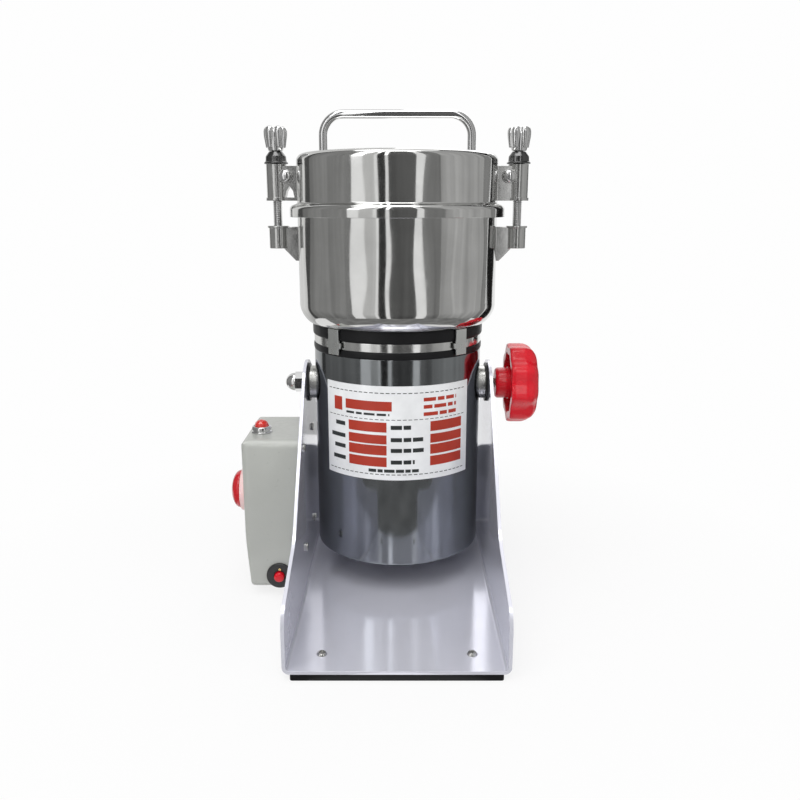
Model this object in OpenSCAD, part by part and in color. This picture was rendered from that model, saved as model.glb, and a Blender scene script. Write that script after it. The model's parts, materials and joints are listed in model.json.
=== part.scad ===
// Electric grain mill of the tilting kind.
// A motor casing with a grinding bowl on top hangs by two trunnions between the side plates of a bent
// sheet bracket.  A control box sits on the left side plate, a locking knob on the right trunnion.
// Millimetres, +Z up.  The mill's own axis is vertical at rest; the frame origin is on the ground in
// the middle of the outer box.

/* [Base bracket] */
// Sheet thickness of the bracket
sheet_t = 2; // [1.5:0.5:3]
// Half of the clear width between the side plates
inner_half = 60; // [58:0.5:66]
// Front edge of the floor plate, from the mill's axis
front_reach = 144; // [125:1:165]
// Rear edge of the floor plate, from the mill's axis
rear_reach = 70; // [64:1:90]
// Height of the side plates' front corner above the ground
front_corner_z = 38; // [30:1:45]
// Distance of the knee in the side plates' front edge from the mill's axis
knee_y = 88; // [80:1:95]
// Height of that knee above the ground
knee_z = 57; // [50:1:62]
// Radius of the side plates' round top
top_r = 28; // [24:1:30]
// Height of the side plates' top above the tilt axis
top_over_pivot = 15; // [14:1:18]
// Gap between the rear wall and the bowl that is tipped over it
wall_gap = 1.2; // [0.8:0.1:4]
// Radius of the front corner
front_corner_r = 14; // [6:1:18]
// Radius of the knee
knee_r = 30; // [10:1:40]
// Radius of the rear corners of side plates and rear wall
rear_corner_r = 8; // [4:1:12]
// Inside radius of the bends
bend_r = 2; // [1:0.5:4]

/* [Feet] */
// Height of the rubber strips
foot_h = 4; // [3:0.5:8]
// Setback of the strips from the bracket's edges
foot_inset = 0.5; // [0:0.5:4]
// Screws from the front and rear edges
foot_screw_inset = 17; // [12:1:24]
// Screws from the mill's axis, sideways
foot_screw_x = 42; // [30:1:48]
// Radius of the screws' shanks
foot_screw_r = 1.7; // [1.2:0.1:2.2]

/* [Pivot] */
// Height of the tilt axis above the ground
pivot_z = 134; // [132:1:138]
// Radius of the trunnions' journals
journal_r = 5; // [4.5:0.1:6]
// Radius of the trunnions' pads
pad_r = 11; // [9:0.5:13]
// Radius of the bush flanges between casing and bracket
bush_flange_r = 13; // [10:0.5:14]
// Thickness of the bush flanges
bush_flange_t = 1.4; // [1:0.1:1.8]
// Wall of the bushes
bush_wall = 1.5; // [1:0.1:2.5]
// Radius of the threads in the trunnions
pivot_thread_r = 3; // [2.5:0.1:3.5]
// Radius of the washers outside the side plates
pivot_washer_r = 8; // [7:0.5:11]
// Thickness of these washers
pivot_washer_t = 1; // [1:0.1:2.5]
// Length of the domed pivot bolt's head
dome_head_h = 12; // [8:0.5:16]
// Width across the flats of that head
dome_head_af = 12; // [10:0.5:14]

/* [Control box] */
// Depth of the box, away from the side plate
box_w = 37; // [33:1:45]
// Front face of the box, from the mill's axis
box_front = 47; // [44:1:50]
// Width of the box, front to rear
box_len = 64; // [56:1:68]
// Axis of lamp and timer behind the box's front face
panel_back = 21; // [20:0.5:30]
// Underside of the box above the ground
box_z = 5.5; // [4.5:0.5:8]
// Height of the box
box_h = 100.5; // [96:0.5:104]
// Corner radius of the box
box_r = 5; // [2:0.5:6]
// Wall of the box
box_t = 2.5; // [2:0.1:3]
// How far the outer face draws in at the bottom
box_taper = 3.5; // [0:0.5:6]
// Height of the straight upper part of the outer face
box_straight = 61; // [50:1:64]
// Radius of the box screws
box_screw_r = 1.5; // [1.2:0.1:1.8]

/* [Timer] */
// Height of the timer knob above the ground
timer_z = 67; // [64:1:70]
// Radius of the timer knob
timer_knob_r = 12.4; // [10:0.2:14]
// Height of the timer knob
timer_knob_h = 6.7; // [5:0.1:9]
// Straight rim of the timer knob
timer_rim_h = 1; // [1:0.1:3]
// Radius of the pale dial behind the knob
dial_r = 14.5; // [14.5:0.5:16]
// Thickness of the dial, which stands out like a skirt
dial_t = 3.6; // [2:0.1:4]
// Radius of the timer shaft
timer_shaft_r = 3; // [2:0.1:3.5]
// Side of the square timer body
timer_body_a = 34; // [26:1:36]
// Depth of the timer body
timer_body_d = 22; // [14:1:24]

/* [Pilot lamp] */
// Lamp axis from the box's outer face
lamp_inset = 10.5; // [9:0.5:14]
// Radius of the lamp's chrome bezel
bezel_r = 6.5; // [5.8:0.1:7.5]
// Height of the bezel
bezel_h = 4.6; // [3:0.1:6]
// Radius of the lens
lens_r = 4.6; // [3.5:0.1:4.8]
// Height of the lens above the box
lens_h = 8.6; // [7.5:0.1:10]

/* [Reset button] */
// Centre of the button from the side plate
reset_inset = 15; // [13:0.5:17]
// Height of the button above the box's underside
reset_up = 9.3; // [9:0.1:11]
// Radius of the black bezel
reset_bezel_r = 8.5; // [7:0.1:9]
// Thickness of that bezel's flange
reset_bezel_t = 2; // [1:0.1:3]
// Radius of the button
reset_r = 3.3; // [2.5:0.1:3.6]
// How far the button stands out of the bezel
reset_proud = 3; // [2.8:0.1:4]
// How far the button can be pressed
reset_travel = 2.5; // [1.5:0.1:2.5]

/* [Cord inlet] */
// Bore radius of the inlet gland
gland_bore_r = 3.5; // [3:0.1:4]
// Wall of the gland
gland_wall = 2.4; // [2:0.1:3]
// How far the gland stands out of the box
gland_out = 9; // [6:0.5:14]
// Height of the gland above the box's underside
gland_up = 14; // [12:0.5:18]

/* [Motor casing] */
// Outer radius of the casing
casing_r = 55; // [54:0.5:56]
// Sheet thickness of the casing
casing_t = 1.2; // [0.8:0.1:1.5]
// Underside of the casing above the ground
casing_z = 25; // [22:0.5:27]
// Height of the casing
casing_h = 134; // [132:1:136]
// Width of the casing's lower lip
casing_lip = 4.5; // [3:0.5:6]
// Thickness of the bottom cover
cover_t = 1.5; // [1:0.1:2.5]

/* [Label plate] */
// Height of the label's lower edge above the casing's underside
label_up = 58; // [54:1:60]
// Height of the label
label_h = 60; // [40:1:62]
// Half of the angle that the label spans, degrees
label_half_angle = 53; // [35:1:58]
// Thickness of the label
label_t = 0.3; // [0.2:0.05:0.5]

/* [Neck] */
// Height of the lower rubber ring
lower_ring_h = 4.2; // [3:0.1:7]
// Height of the polished band
band_h = 5.6; // [4:0.1:8]
// Height of the upper rubber ring
upper_ring_h = 7.6; // [6:0.1:11]
// Radial width of the rings
ring_w = 6; // [4:0.5:7]
// Width of the clips
clip_w = 9; // [5:0.5:11]
// Thickness of the clips
clip_t = 1.4; // [1:0.1:2.5]
// Angle of the clips from the front, degrees
clip_angle = 43.5; // [40:0.5:50]

/* [Motor] */
// Outer radius of the stator
stator_r = 43.8; // [42:0.1:44.5]
// Length of the stator
stator_h = 40; // [34:1:42]
// Radius of the rotor
rotor_r = 24; // [20:0.5:25]
// Air gap between rotor and stator
air_gap = 0.6; // [0.4:0.1:0.9]
// Width of the stator's yoke
yoke_w = 8; // [6:0.5:8]
// Radius of the tie bolts' circle
tie_circle_r = 46; // [45:0.5:46.5]
// Radius of the tie bolts
tie_r = 2; // [1.5:0.1:2.2]
// Outer radius of the bearings
bearing_r = 11; // [10:0.5:12]
// Height of the bearings
bearing_h = 7; // [6:0.5:8]
// Radius of the commutator
commutator_r = 13; // [11:0.5:14]
// Bars of the commutator
commutator_bars = 24; // [18:2:30]
// Radius of the cooling fan
fan_r = 36; // [30:1:40]
// Blades of the cooling fan
fan_blades = 12; // [8:1:16]
// Radius of the rotor shaft
shaft_r = 5; // [4.5:0.1:5.5]

/* [Bowl] */
// Outer radius of the bowl and the lid
bowl_r = 63.8; // [63.5:0.1:66]
// Height of the bowl
bowl_h = 70.4; // [64:0.1:76]
// Sheet thickness of bowl and lid
bowl_t = 1.5; // [1:0.1:2]
// Radius of the bowl's lower corner
bowl_corner_r = 13.5; // [11:0.5:14.5]
// Height of the foot ring under the bowl
bowl_foot_h = 2.2; // [1.5:0.1:3]
// Radius of the turned-out rim
rim_r_add = 1.5; // [1:0.1:1.8]

/* [Blades] */
// Tip radius of the blades
blade_r = 54; // [44:0.5:56]
// Width of the blades at the hub
blade_w = 18; // [14:0.5:22]
// Thickness of the blades
blade_t = 2; // [1.5:0.1:2.5]
// Height between the lower and the upper blade
spacer_h = 14; // [10:0.5:18]

/* [Lid] */
// Height of the lid's straight wall and shoulder
lid_h = 30; // [26:0.5:38]
// Radius of the lid's shoulder
lid_corner_r = 4.5; // [3:0.5:8]
// How far the lid's wall starts above the bowl's rim
lid_step = 4.2; // [4.2:0.1:5]
// How far the flared lip reaches down
lip_drop = 8.4; // [7:0.1:9]
// How far the flared lip reaches out
lip_out = 4.8; // [4.5:0.1:6]

/* [Handle] */
// Radius of the handle's rod
rod_r = 2.7; // [2.5:0.1:3.5]
// Legs from the lid's outer wall
handle_inset = 17; // [15:0.5:24]
// Height of the handle over the lid
handle_h = 27; // [24:0.5:40]
// Bend radius of the handle's corners, to the rod's centre
handle_bend_r = 13; // [8:0.5:18]

/* [Clamps] */
// Clamp axis from the bowl's outer wall
clamp_out = 13.1; // [13:0.1:17]
// Radius of the sleeves
sleeve_r = 6.4; // [5.6:0.1:6.6]
// Height of the sleeves
sleeve_h = 22.3; // [20:0.2:24]
// Height of the sleeves' foot above the lid's wall foot
sleeve_up = 1.7; // [1.5:0.1:4]
// Thickness of the brackets that hold the sleeves
ear_t = 9; // [7:0.5:10]
// Radius of the hand screws' studs
stud_r = 3; // [2.5:0.1:3.2]
// Radius of the threaded barrels
barrel_r = 5.9; // [5:0.1:6.2]
// Height of the threaded barrels
barrel_h = 14.2; // [11:0.1:15]
// Depth of the barrels' tops below the rim
barrel_down = 9.8; // [9.3:0.1:12]
// Height of the cap washers' collar
collar_h = 4.5; // [3:0.1:6]
// Height of the cap washers' cone
cone_h = 3; // [2:0.1:4]
// Height of the lobed heads
crown_h = 14.9; // [10:0.1:16]
// Outer radius of the lobed heads
crown_r = 7.7; // [6.5:0.1:8]
// Lobes of the heads
crown_lobes = 5; // [4:1:6]
// Radius of the rivets' round heads
rivet_r = 4; // [3:0.1:4.2]

/* [Locking knob] */
// Radius over the lobes
knob_r = 27; // [24:0.5:28]
// Thickness of the lobed wheel
knob_w = 18.6; // [16:0.5:24]
// Lobes of the wheel
knob_lobes = 9; // [6:1:10]
// Depth of the finger hollows
knob_hollow = 2.6; // [2:0.2:5]
// Radius of the wheel's outer edge
knob_edge_r = 8; // [4:0.5:10]
// Radius of the hub
hub_r = 10.3; // [8:0.1:12]
// Length of the hub
hub_l = 8.5; // [6:0.1:12]
// Gap between washer and hub, knob slack
knob_slack = 2.2; // [2.2:0.1:4]

/* [Fits] */
// Radial clearance of a shaft that turns in its bearing
run_fit = 0.06; // [0.03:0.01:0.1]
// Radial clearance of a piece pressed on its shaft
press_fit = 0.02; // [0.01:0.01:0.04]
// Clearance of pieces that sit in each other
seat_gap = 0.1; // [0.05:0.01:0.15]
// Clearance between pieces that move past each other
move_gap = 0.3; // [0.2:0.05:0.4]

/* [Hidden] */
$fn = 64;
ARC_STEPS = 8;

// Bracket
plate_out = inner_half + sheet_t;
floor_top = foot_h + sheet_t;
rear_wall_z = pivot_z - bowl_r - wall_gap;
rear_wall_y = rear_reach - sheet_t;
bend_out_r = bend_r + sheet_t;
plate_top_z = pivot_z + top_over_pivot;
top_centre_z = plate_top_z - top_r;
foot_half = plate_out - sheet_t - bend_r;
screw_head_r = foot_screw_r * 1.8;
screw_head_h = 1.4;
foot_screw_end = 2;
strip_corner_r = 1.5;
foot_screws_y = [-front_reach + foot_screw_inset, rear_reach - foot_screw_inset];

// Pivot
pad_x = inner_half - bush_flange_t - move_gap / 2;
bush_end_x = plate_out + seat_gap;
journal_end_x = bush_end_x + move_gap;
bush_r = journal_r + bush_wall;
washer_out_x = journal_end_x + pivot_washer_t;
hub_x = washer_out_x + knob_slack;
wheel_x = hub_x + hub_l;
knob_end_x = wheel_x + knob_w;
lock_stud_in = 4;

// Control box
box_in_x = plate_out;
box_out_x = plate_out + box_w;
box_top = box_z + box_h;
panel_y = panel_back - box_front;
box_rear = -box_front + box_len;
box_in_r = max(box_r - box_t, 1);
post_r = 3.4;
post_inset = box_t + post_r + 0.4;
post_y = [-box_front + post_inset, box_rear - post_inset];
post_z = [box_z + post_inset + 20, box_top - post_inset];
box_screw_l = 10;
lamp_depth = 6;
lamp_tube_r = lens_r + 0.6;
timer_shaft_hole_r = timer_shaft_r + 1;
timer_shaft_in = 8;
lamp_x = box_out_x - lamp_inset;
dial_x = box_out_x;
knob_face_x = dial_x + dial_t + move_gap;
timer_end_x = knob_face_x + timer_knob_h;
reset_x = box_in_x + reset_inset;
reset_z = box_z + reset_up;
reset_tail = 1.5;
reset_sleeve_r = reset_r + 1.2;
spring_wire_r = 0.45;
spring_turns = 4;
spring_pitch = spring_wire_r * 1.8;
spring_l = 2 * spring_wire_r + spring_pitch * (spring_turns - 1);
reset_pocket = reset_tail + reset_travel + move_gap + spring_l;
breaker_a = 15;
breaker_d = 24;
gland_z = box_z + gland_up;
gland_x = reset_x + 2;
gland_r = gland_bore_r + gland_wall;
gland_flange_w = 2;
gland_flange_t = 3;
gland_in = box_t + 2;

// Casing and neck
casing_in_r = casing_r - casing_t;
casing_top = casing_z + casing_h;
cover_z = casing_z + casing_t;
lip_round_r = 1.5;
cover_vents = [[12, 30, 4], [6, 15, 3]];
trunnion_x = casing_r - 6;
band_z = casing_top + lower_ring_h;
upper_ring_z = band_z + band_h;
bowl_z = upper_ring_z + upper_ring_h;
ring_in_r = casing_r - ring_w;
clip_z = band_z - 3;
clip_top = bowl_z - 0.3;
clip_face_r = casing_r + 1.1;
clip_tab = 1.4;

// Motor
shield_t = 5;
shield_r = casing_in_r - seat_gap;
shield_vent_r = 6.5;
shield_vent_circle_r = 27;
bowl_bolt_l = 12;
fan_z = cover_z + cover_t + 5;
fan_h = 12;
lower_shield_z = fan_z + fan_h + 4;
lower_shield_top = lower_shield_z + shield_t;
commutator_z = lower_shield_top + 6;
commutator_h = 13;
armature_z = commutator_z + commutator_h + 9;
stator_z = armature_z;
stator_top = stator_z + stator_h;
coil_over = 8;
coil_half_w = 18;
coil_corner_r = 6;
shoe_angle = 50;
upper_shield_z = stator_top + 12;
hub_wall = 4;
pillar_circle_r = 40;
pillar_r = 5.5;
bolt_r = 2.5;
post_bolt_r = 5;
shaft_bottom = fan_z - 2;
pole_root = 9;
shoe_t = 5;
brush_w = 6;
brush_h = 8;
brush_in = commutator_r + move_gap;
brush_z = commutator_z + commutator_h / 2;
holder_t = 3;
holder_in = brush_in + 3;
holder_out = holder_in + 19.7;
holder_leg_w = 8;
brush_end = holder_out - holder_t;

// Bowl, blades and lid
rim_z = bowl_z + bowl_h;
bowl_floor_z = bowl_z + bowl_foot_h;
bowl_in_r = bowl_r - bowl_t;
chamber_z = bowl_floor_z + bowl_t;
bowl_cut_angle = 58;
bowl_corner_z = bowl_z + bowl_corner_r * sin(bowl_cut_angle);
foot_ring_r = bowl_r - bowl_corner_r * (1 - cos(bowl_cut_angle));
foot_ring_w = 5;
rim_h = 1.6;
seal_r = 9;
seal_down = 6;
seal_flange_r = 13;
seal_flange_t = 2.5;
collar_z = chamber_z + seal_flange_t + move_gap;
collar_r = 8;
collar_t = 3;
lower_blade_z = collar_z + collar_t;
upper_blade_z = lower_blade_z + blade_t + spacer_h;
nut_z = upper_blade_z + blade_t;
nut_h = 7;
shaft_top = nut_z + nut_h + 2;
lid_wall_z = rim_z + lid_step;
lid_top = lid_wall_z + lid_h;
handle_top = lid_top + handle_h;
leg_x = bowl_r - handle_inset;
spigot_r = rod_r - 0.5;
handle_nut_h = 4;
handle_nut_z = lid_top - bowl_t - handle_nut_h;
handle_nut_af = 8;

// Clamps
clamp_x = bowl_r + clamp_out;
sleeve_z = lid_wall_z + sleeve_up;
sleeve_top = sleeve_z + sleeve_h;
cap_z = sleeve_top + move_gap;
cone_z = cap_z + collar_h;
crown_z = cone_z + cone_h + move_gap;
barrel_top = rim_z - barrel_down;
barrel_z = barrel_top - barrel_h;
thread_hold = 10;
stud_z = barrel_top - thread_hold;
stud_hole_r = stud_r + move_gap;
lobe_r = crown_r * 0.36;
rivet_x = clamp_x - sleeve_r;
rivet_z = sleeve_z + 15;
rivet_boss = sleeve_r + 0.1;
rivet_shank_r = 1.5;

// Middle of the outer box, seen from above
mid_x = (knob_end_x - timer_end_x) / 2;
mid_y = (rear_reach - front_reach) / 2;

function arc(cx, cy, r, from, to) =
    [for (i = [0:ARC_STEPS]) let (a = from + (to - from) * i / ARC_STEPS) [cx + r * cos(a), cy + r * sin(a)]];
function unit(v) = v / norm(v);
// Points that round the corner p between the neighbours a and b with radius r
function fillet(a, p, b, r) =
    let (u = unit(a - p), v = unit(b - p), half = acos(u * v) / 2,
         c = p + unit(u + v) * r / sin(half),
         s = p + u * r / tan(half) - c, e = p + v * r / tan(half) - c,
         start = atan2(s[1], s[0]), turn = atan2(s[0] * e[1] - s[1] * e[0], s * e))
    arc(c[0], c[1], r, start, start + turn);
// A closed outline with every corner rounded
function rounded(points, radii) =
    let (n = len(points))
    [for (i = [0:n - 1])
        each radii[i] > 0 ? fillet(points[(i + n - 1) % n], points[i], points[(i + 1) % n], radii[i])
                          : [points[i]]];
function rect(x0, y0, x1, y1) = [[x0, y0], [x1, y0], [x1, y1], [x0, y1]];
function rounded_rect(x0, y0, x1, y1, r) = rounded(rect(x0, y0, x1, y1), [r, r, r, r]);
// Angle of the touching point of the line from p to a circle round c, on the side given by sense
function touch_angle(p, c, r, sense) = atan2(p[1] - c[1], p[0] - c[0]) + sense * acos(r / norm(p - c));
// Outline of the lobed wheel: the radius swings between knob_r and the bottoms of the finger hollows
function lobed_outline() =
    let (n = knob_lobes * 12)
    [for (i = [0:n - 1])
        let (a = 360 * i / n, r = knob_r - knob_hollow * (1 - cos(knob_lobes * a)) / 2) r * [cos(a), sin(a)]];

// Everything below is drawn round the mill's axis, then moved to the frame origin
module placed() translate([-mid_x, -mid_y, 0]) children();
// Extrude an outline drawn in Y and Z along X
module along_x(from, to) translate([from, 0, 0]) rotate([90, 0, 90]) linear_extrude(to - from) children();
// Extrude an outline drawn in X and Z along Y
module along_y(from, to) translate([0, to, 0]) rotate([90, 0, 0]) linear_extrude(to - from) children();
// Round bar or bore along X
module rod_x(r, from, to) translate([from, 0, 0]) rotate([0, 90, 0]) cylinder(r = r, h = to - from);
// Round bar or bore along Y
module rod_y(r, from, to) translate([0, from, 0]) rotate([-90, 0, 0]) cylinder(r = r, h = to - from);
// Round bar or bore along Z
module rod_z(r, from, to) translate([0, 0, from]) cylinder(r = r, h = to - from);
module ring_z(outer, inner, from, to) difference() {
    rod_z(outer, from, to);
    rod_z(inner, from - 1, to + 1);
}
module hexagon(af, h) cylinder(r = af / 2 / cos(30), h = h, $fn = 6);
module both_sides() {
    children();
    mirror([1, 0, 0]) children();
}

// ---- Base ----

module side_outline() {
    centre = [0, top_centre_z];
    front_foot = [-front_reach, foot_h];
    front_corner = [-front_reach, front_corner_z];
    knee = [-knee_y, knee_z];
    rear_corner = [rear_reach, rear_wall_z];
    rear_foot = [rear_reach, foot_h];
    front_touch = touch_angle(knee, centre, top_r, -1) + 360;
    rear_touch = touch_angle(rear_corner, centre, top_r, 1);
    front_end = centre + top_r * [cos(front_touch), sin(front_touch)];
    rear_end = centre + top_r * [cos(rear_touch), sin(rear_touch)];
    polygon(concat([front_foot], fillet(front_foot, front_corner, knee, front_corner_r),
                   fillet(front_corner, knee, front_end, knee_r),
                   arc(0, top_centre_z, top_r, front_touch, rear_touch),
                   fillet(rear_end, rear_corner, rear_foot, rear_corner_r), [rear_foot]));
}
module bend_section() {
    top = plate_top_z + 1;
    polygon(rounded([[-plate_out, top], [-plate_out, foot_h], [plate_out, foot_h], [plate_out, top],
                     [inner_half, top], [inner_half, floor_top], [-inner_half, floor_top],
                     [-inner_half, top]],
                    [0, bend_out_r, bend_out_r, 0, 0, bend_r, bend_r, 0]));
}
// Rear wall that joins the side plates, with the fillet of its bend
module rear_wall() {
    half_w = plate_out - sheet_t / 2;
    low = foot_h + sheet_t / 2;
    foot_r = bend_out_r - sheet_t / 2;
    along_y(rear_wall_y, rear_reach)
        polygon(rounded([[-half_w, low], [half_w, low], [half_w, rear_wall_z], [-half_w, rear_wall_z]],
                        [foot_r, foot_r, rear_corner_r, rear_corner_r]));
    mid = sheet_t / 2;
    along_x(-inner_half - mid, inner_half + mid)
        polygon(concat([[rear_wall_y + mid, floor_top + bend_r]],
                       arc(rear_wall_y - bend_r, floor_top + bend_r, bend_r, 0, -90),
                       [[rear_wall_y - bend_r, floor_top - mid], [rear_wall_y + mid, floor_top - mid]]));
}
// What the bend at the rear takes off the corner below it
module rear_bend_cut() along_x(-plate_out - 1, plate_out + 1)
    polygon(concat([[rear_reach + 1, foot_h - 1]],
                   [[rear_reach + 1, foot_h + bend_out_r]],
                   arc(rear_reach - bend_out_r, foot_h + bend_out_r, bend_out_r, 0, -90),
                   [[rear_reach - bend_out_r, foot_h - 1]]));
module base_bracket() color("lavender") placed() difference() {
    union() {
        intersection() {
            along_y(-front_reach, rear_reach) bend_section();
            along_x(-plate_out - 1, plate_out + 1) side_outline();
        }
        rear_wall();
    }
    rear_bend_cut();
    translate([0, 0, pivot_z]) rod_x(bush_r + seat_gap, -plate_out - 1, plate_out + 1);
    at_foot_screws() rod_z(foot_screw_r + seat_gap, foot_h - 1, floor_top + 1);
    at_box_posts() rod_x(box_screw_r + seat_gap, -plate_out - 1, -inner_half + 1);
}
module at_foot_screws() for (x = [-foot_screw_x, foot_screw_x], y = foot_screws_y)
    translate([x, y, 0]) children();
module foot_strips() color("#181818") placed() difference() {
    half_w = foot_screw_inset - foot_inset;
    for (y = foot_screws_y) linear_extrude(foot_h)
        polygon(rounded_rect(-foot_half, y - half_w, foot_half, y + half_w, strip_corner_r));
    at_foot_screws() rod_z(foot_screw_r + seat_gap, foot_screw_end - 0.5, foot_h + 1);
}
module foot_screws() color("silver") placed() at_foot_screws() {
    rod_z(foot_screw_r, foot_screw_end, floor_top);
    translate([0, 0, floor_top]) cylinder(r1 = screw_head_r, r2 = screw_head_r * 0.7, h = screw_head_h);
}
module pivot_bushes() color("#202020") placed() translate([0, 0, pivot_z]) both_sides() difference() {
    union() {
        rod_x(bush_flange_r, inner_half - bush_flange_t, inner_half);
        rod_x(bush_r, inner_half - bush_flange_t, bush_end_x);
    }
    rod_x(journal_r + run_fit, 0, bush_end_x + 1);
}

// ---- Control box, on the left side plate (negative X) ----

// Outline of the box in X and Z, drawn inwards by inset and open to end_x
function box_profile(inset, end_x) =
    let (r = max(box_r - inset, 1), low = box_z + inset, high = box_top - inset, out = -box_out_x + inset)
    rounded([[out, high], [out, box_top - box_straight], [out + box_taper, low],
             [end_x, low], [end_x, high]], [r, 20, r, 0, 0]);
module box_block(inset, end_x) {
    r = max(box_r - inset, 1);
    front = -box_front + inset;
    rear = box_rear - inset;
    intersection() {
        along_y(front, rear) polygon(box_profile(inset, end_x));
        along_x(-box_out_x - 1, end_x)
            polygon(rounded_rect(front, box_z + inset, rear, box_top - inset, r));
        translate([0, 0, box_z - 1]) linear_extrude(box_h + 2)
            polygon(rounded([[-box_out_x + inset, front], [end_x, front], [end_x, rear],
                             [-box_out_x + inset, rear]], [r, 0, 0, r]));
    }
}
module at_box_posts() for (y = post_y, z = post_z) translate([0, y, z]) children();
module box_shell() color("#a6a9a3") placed() difference() {
    union() {
        difference() {
            box_block(0, -box_in_x);
            box_block(box_t, -box_in_x + 1);
        }
        intersection() {
            at_box_posts() rod_x(post_r, -box_out_x, -box_in_x);
            box_block(box_t / 2, -box_in_x);
        }
    }
    at_box_posts() rod_x(box_screw_r + seat_gap, -box_in_x - box_screw_l - 2, -box_in_x + 1);
    translate([-lamp_x, panel_y, 0]) rod_z(lamp_tube_r + seat_gap, box_top - box_t - 1, box_top + 1);
    translate([0, panel_y, timer_z]) rod_x(timer_shaft_hole_r, -box_out_x - 1, -box_out_x + box_t + 1);
    translate([-reset_x, -box_front, reset_z]) rod_y(reset_sleeve_r + seat_gap, -1, box_t + 1);
    translate([-gland_x, 0, gland_z]) rod_y(gland_r + seat_gap, box_rear - box_t - 1, box_rear + 1);
}
module box_screws() color("silver") placed() at_box_posts() {
    head_h = 1.3;
    rod_x(box_screw_r, -box_in_x - box_screw_l, -inner_half);
    rod_x(box_screw_r * 1.9, -inner_half, -inner_half + head_h);
}
module lamp_bezel() color("silver") placed() translate([-lamp_x, panel_y, 0]) difference() {
    union() {
        translate([0, 0, box_top]) cylinder(r1 = bezel_r, r2 = bezel_r - 0.7, h = bezel_h);
        rod_z(lamp_tube_r, box_top - lamp_depth, box_top);
    }
    rod_z(lens_r + seat_gap, box_top - lamp_depth + 1, box_top + bezel_h + 1);
}
module lamp_lens() color("orangered") placed() translate([-lamp_x, panel_y, box_top])
    rotate_extrude() polygon(concat([[0, 1 - lamp_depth], [lens_r, 1 - lamp_depth]],
                                    [for (i = [0:ARC_STEPS]) let (a = 90 * i / ARC_STEPS)
                                        [lens_r * cos(a), bezel_h + (lens_h - bezel_h) * sin(a)]]));
module timer_body() color("dimgray") placed() translate([0, panel_y, timer_z]) difference() {
    inner_x = -box_out_x + box_t;
    half = timer_body_a / 2;
    along_x(inner_x, inner_x + timer_body_d) polygon(rounded_rect(-half, -half, half, half, 3));
    rod_x(timer_shaft_r + run_fit, inner_x - 1, inner_x + timer_shaft_in + 2);
}
module timer_dial() color("whitesmoke") placed() translate([0, panel_y, timer_z]) difference() {
    rod_x(dial_r, -dial_x - dial_t, -dial_x);
    rod_x(timer_shaft_hole_r, -dial_x - dial_t - 1, -dial_x + 1);
}
module timer_knob() color("#c8001e") placed() translate([-knob_face_x, panel_y, timer_z]) {
    rotate([0, -90, 0]) rotate_extrude()
        polygon(concat([[0, 0], [timer_knob_r, 0]],
                       [for (i = [0:ARC_STEPS]) let (a = 90 * i / ARC_STEPS)
                           [timer_knob_r * cos(a), timer_rim_h + (timer_knob_h - timer_rim_h) * sin(a)]]));
    rod_x(timer_shaft_r, -1, knob_face_x - box_out_x + box_t + timer_shaft_in);
}
module breaker_body() color("#202020") placed() translate([-reset_x, 0, reset_z]) difference() {
    half = breaker_a / 2;
    front = -box_front + box_t;
    below = reset_up - box_t - box_in_r;
    along_y(front, front + breaker_d) polygon(rect(-half, -below, half, breaker_a - below));
    rod_y(reset_r + move_gap, front - 1, front + reset_pocket);
}
module reset_bezel() color("#101010") placed() translate([-reset_x, 0, reset_z]) difference() {
    union() {
        rod_y(reset_bezel_r, -box_front - reset_bezel_t, -box_front);
        rod_y(reset_sleeve_r, -box_front, -box_front + box_t - seat_gap);
    }
    rod_y(reset_r + move_gap, -box_front - reset_bezel_t - 1, -box_front + box_t + 1);
}
module reset_button() color("#e01030") placed() translate([-reset_x, 0, reset_z])
    rod_y(reset_r, -box_front - reset_bezel_t - reset_proud, -box_front + box_t + reset_tail);
module reset_spring() color("silver") placed()
    translate([-reset_x, -box_front + box_t + reset_pocket, reset_z]) rotate([90, 0, 0]) {
        for (i = [0:spring_turns - 1]) translate([0, 0, spring_wire_r + i * spring_pitch])
            rotate_extrude() translate([reset_r - spring_wire_r, 0]) circle(r = spring_wire_r, $fn = 16);
    }
module cord_gland() color("#181818") placed() translate([-gland_x, 0, gland_z]) difference() {
    union() {
        rod_y(gland_r, box_rear - gland_in, box_rear);
        rod_y(gland_r + gland_flange_w, box_rear, box_rear + gland_flange_t);
        translate([0, box_rear + gland_flange_t, 0]) rotate([-90, 0, 0])
            cylinder(r1 = gland_r + 0.5, r2 = gland_r - 0.5, h = gland_out - gland_flange_t);
    }
    rod_y(gland_bore_r, box_rear - gland_in - 1, box_rear + gland_out + 1);
}

// ---- Motor casing ----

module casing() color("#7c8284") placed() difference() {
    rotate_extrude($fn = 128)
        polygon(concat([[casing_r - casing_lip, casing_z]],
                       arc(casing_r - lip_round_r, casing_z + lip_round_r, lip_round_r, -90, 0),
                       [[casing_r, casing_top], [casing_in_r, casing_top], [casing_in_r, cover_z],
                        [casing_r - casing_lip, cover_z]]));
    both_sides() translate([0, 0, pivot_z]) rod_x(pivot_thread_r + 0.5, casing_in_r - 3, casing_r + 1);
}
module bottom_cover() color("gray") placed() difference() {
    rod_z(casing_in_r - seat_gap, cover_z, cover_z + cover_t);
    // Each row of vents is its number, the radius of its circle and the radius of its holes
    for (row = cover_vents, i = [0:row[0] - 1]) rotate(360 * i / row[0]) translate([row[1], 0, 0])
        rod_z(row[2], cover_z - 1, cover_z + cover_t + 1);
    at_tie_bolts() rod_z(tie_r + seat_gap, cover_z - 1, cover_z + cover_t + 1);
}
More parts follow.
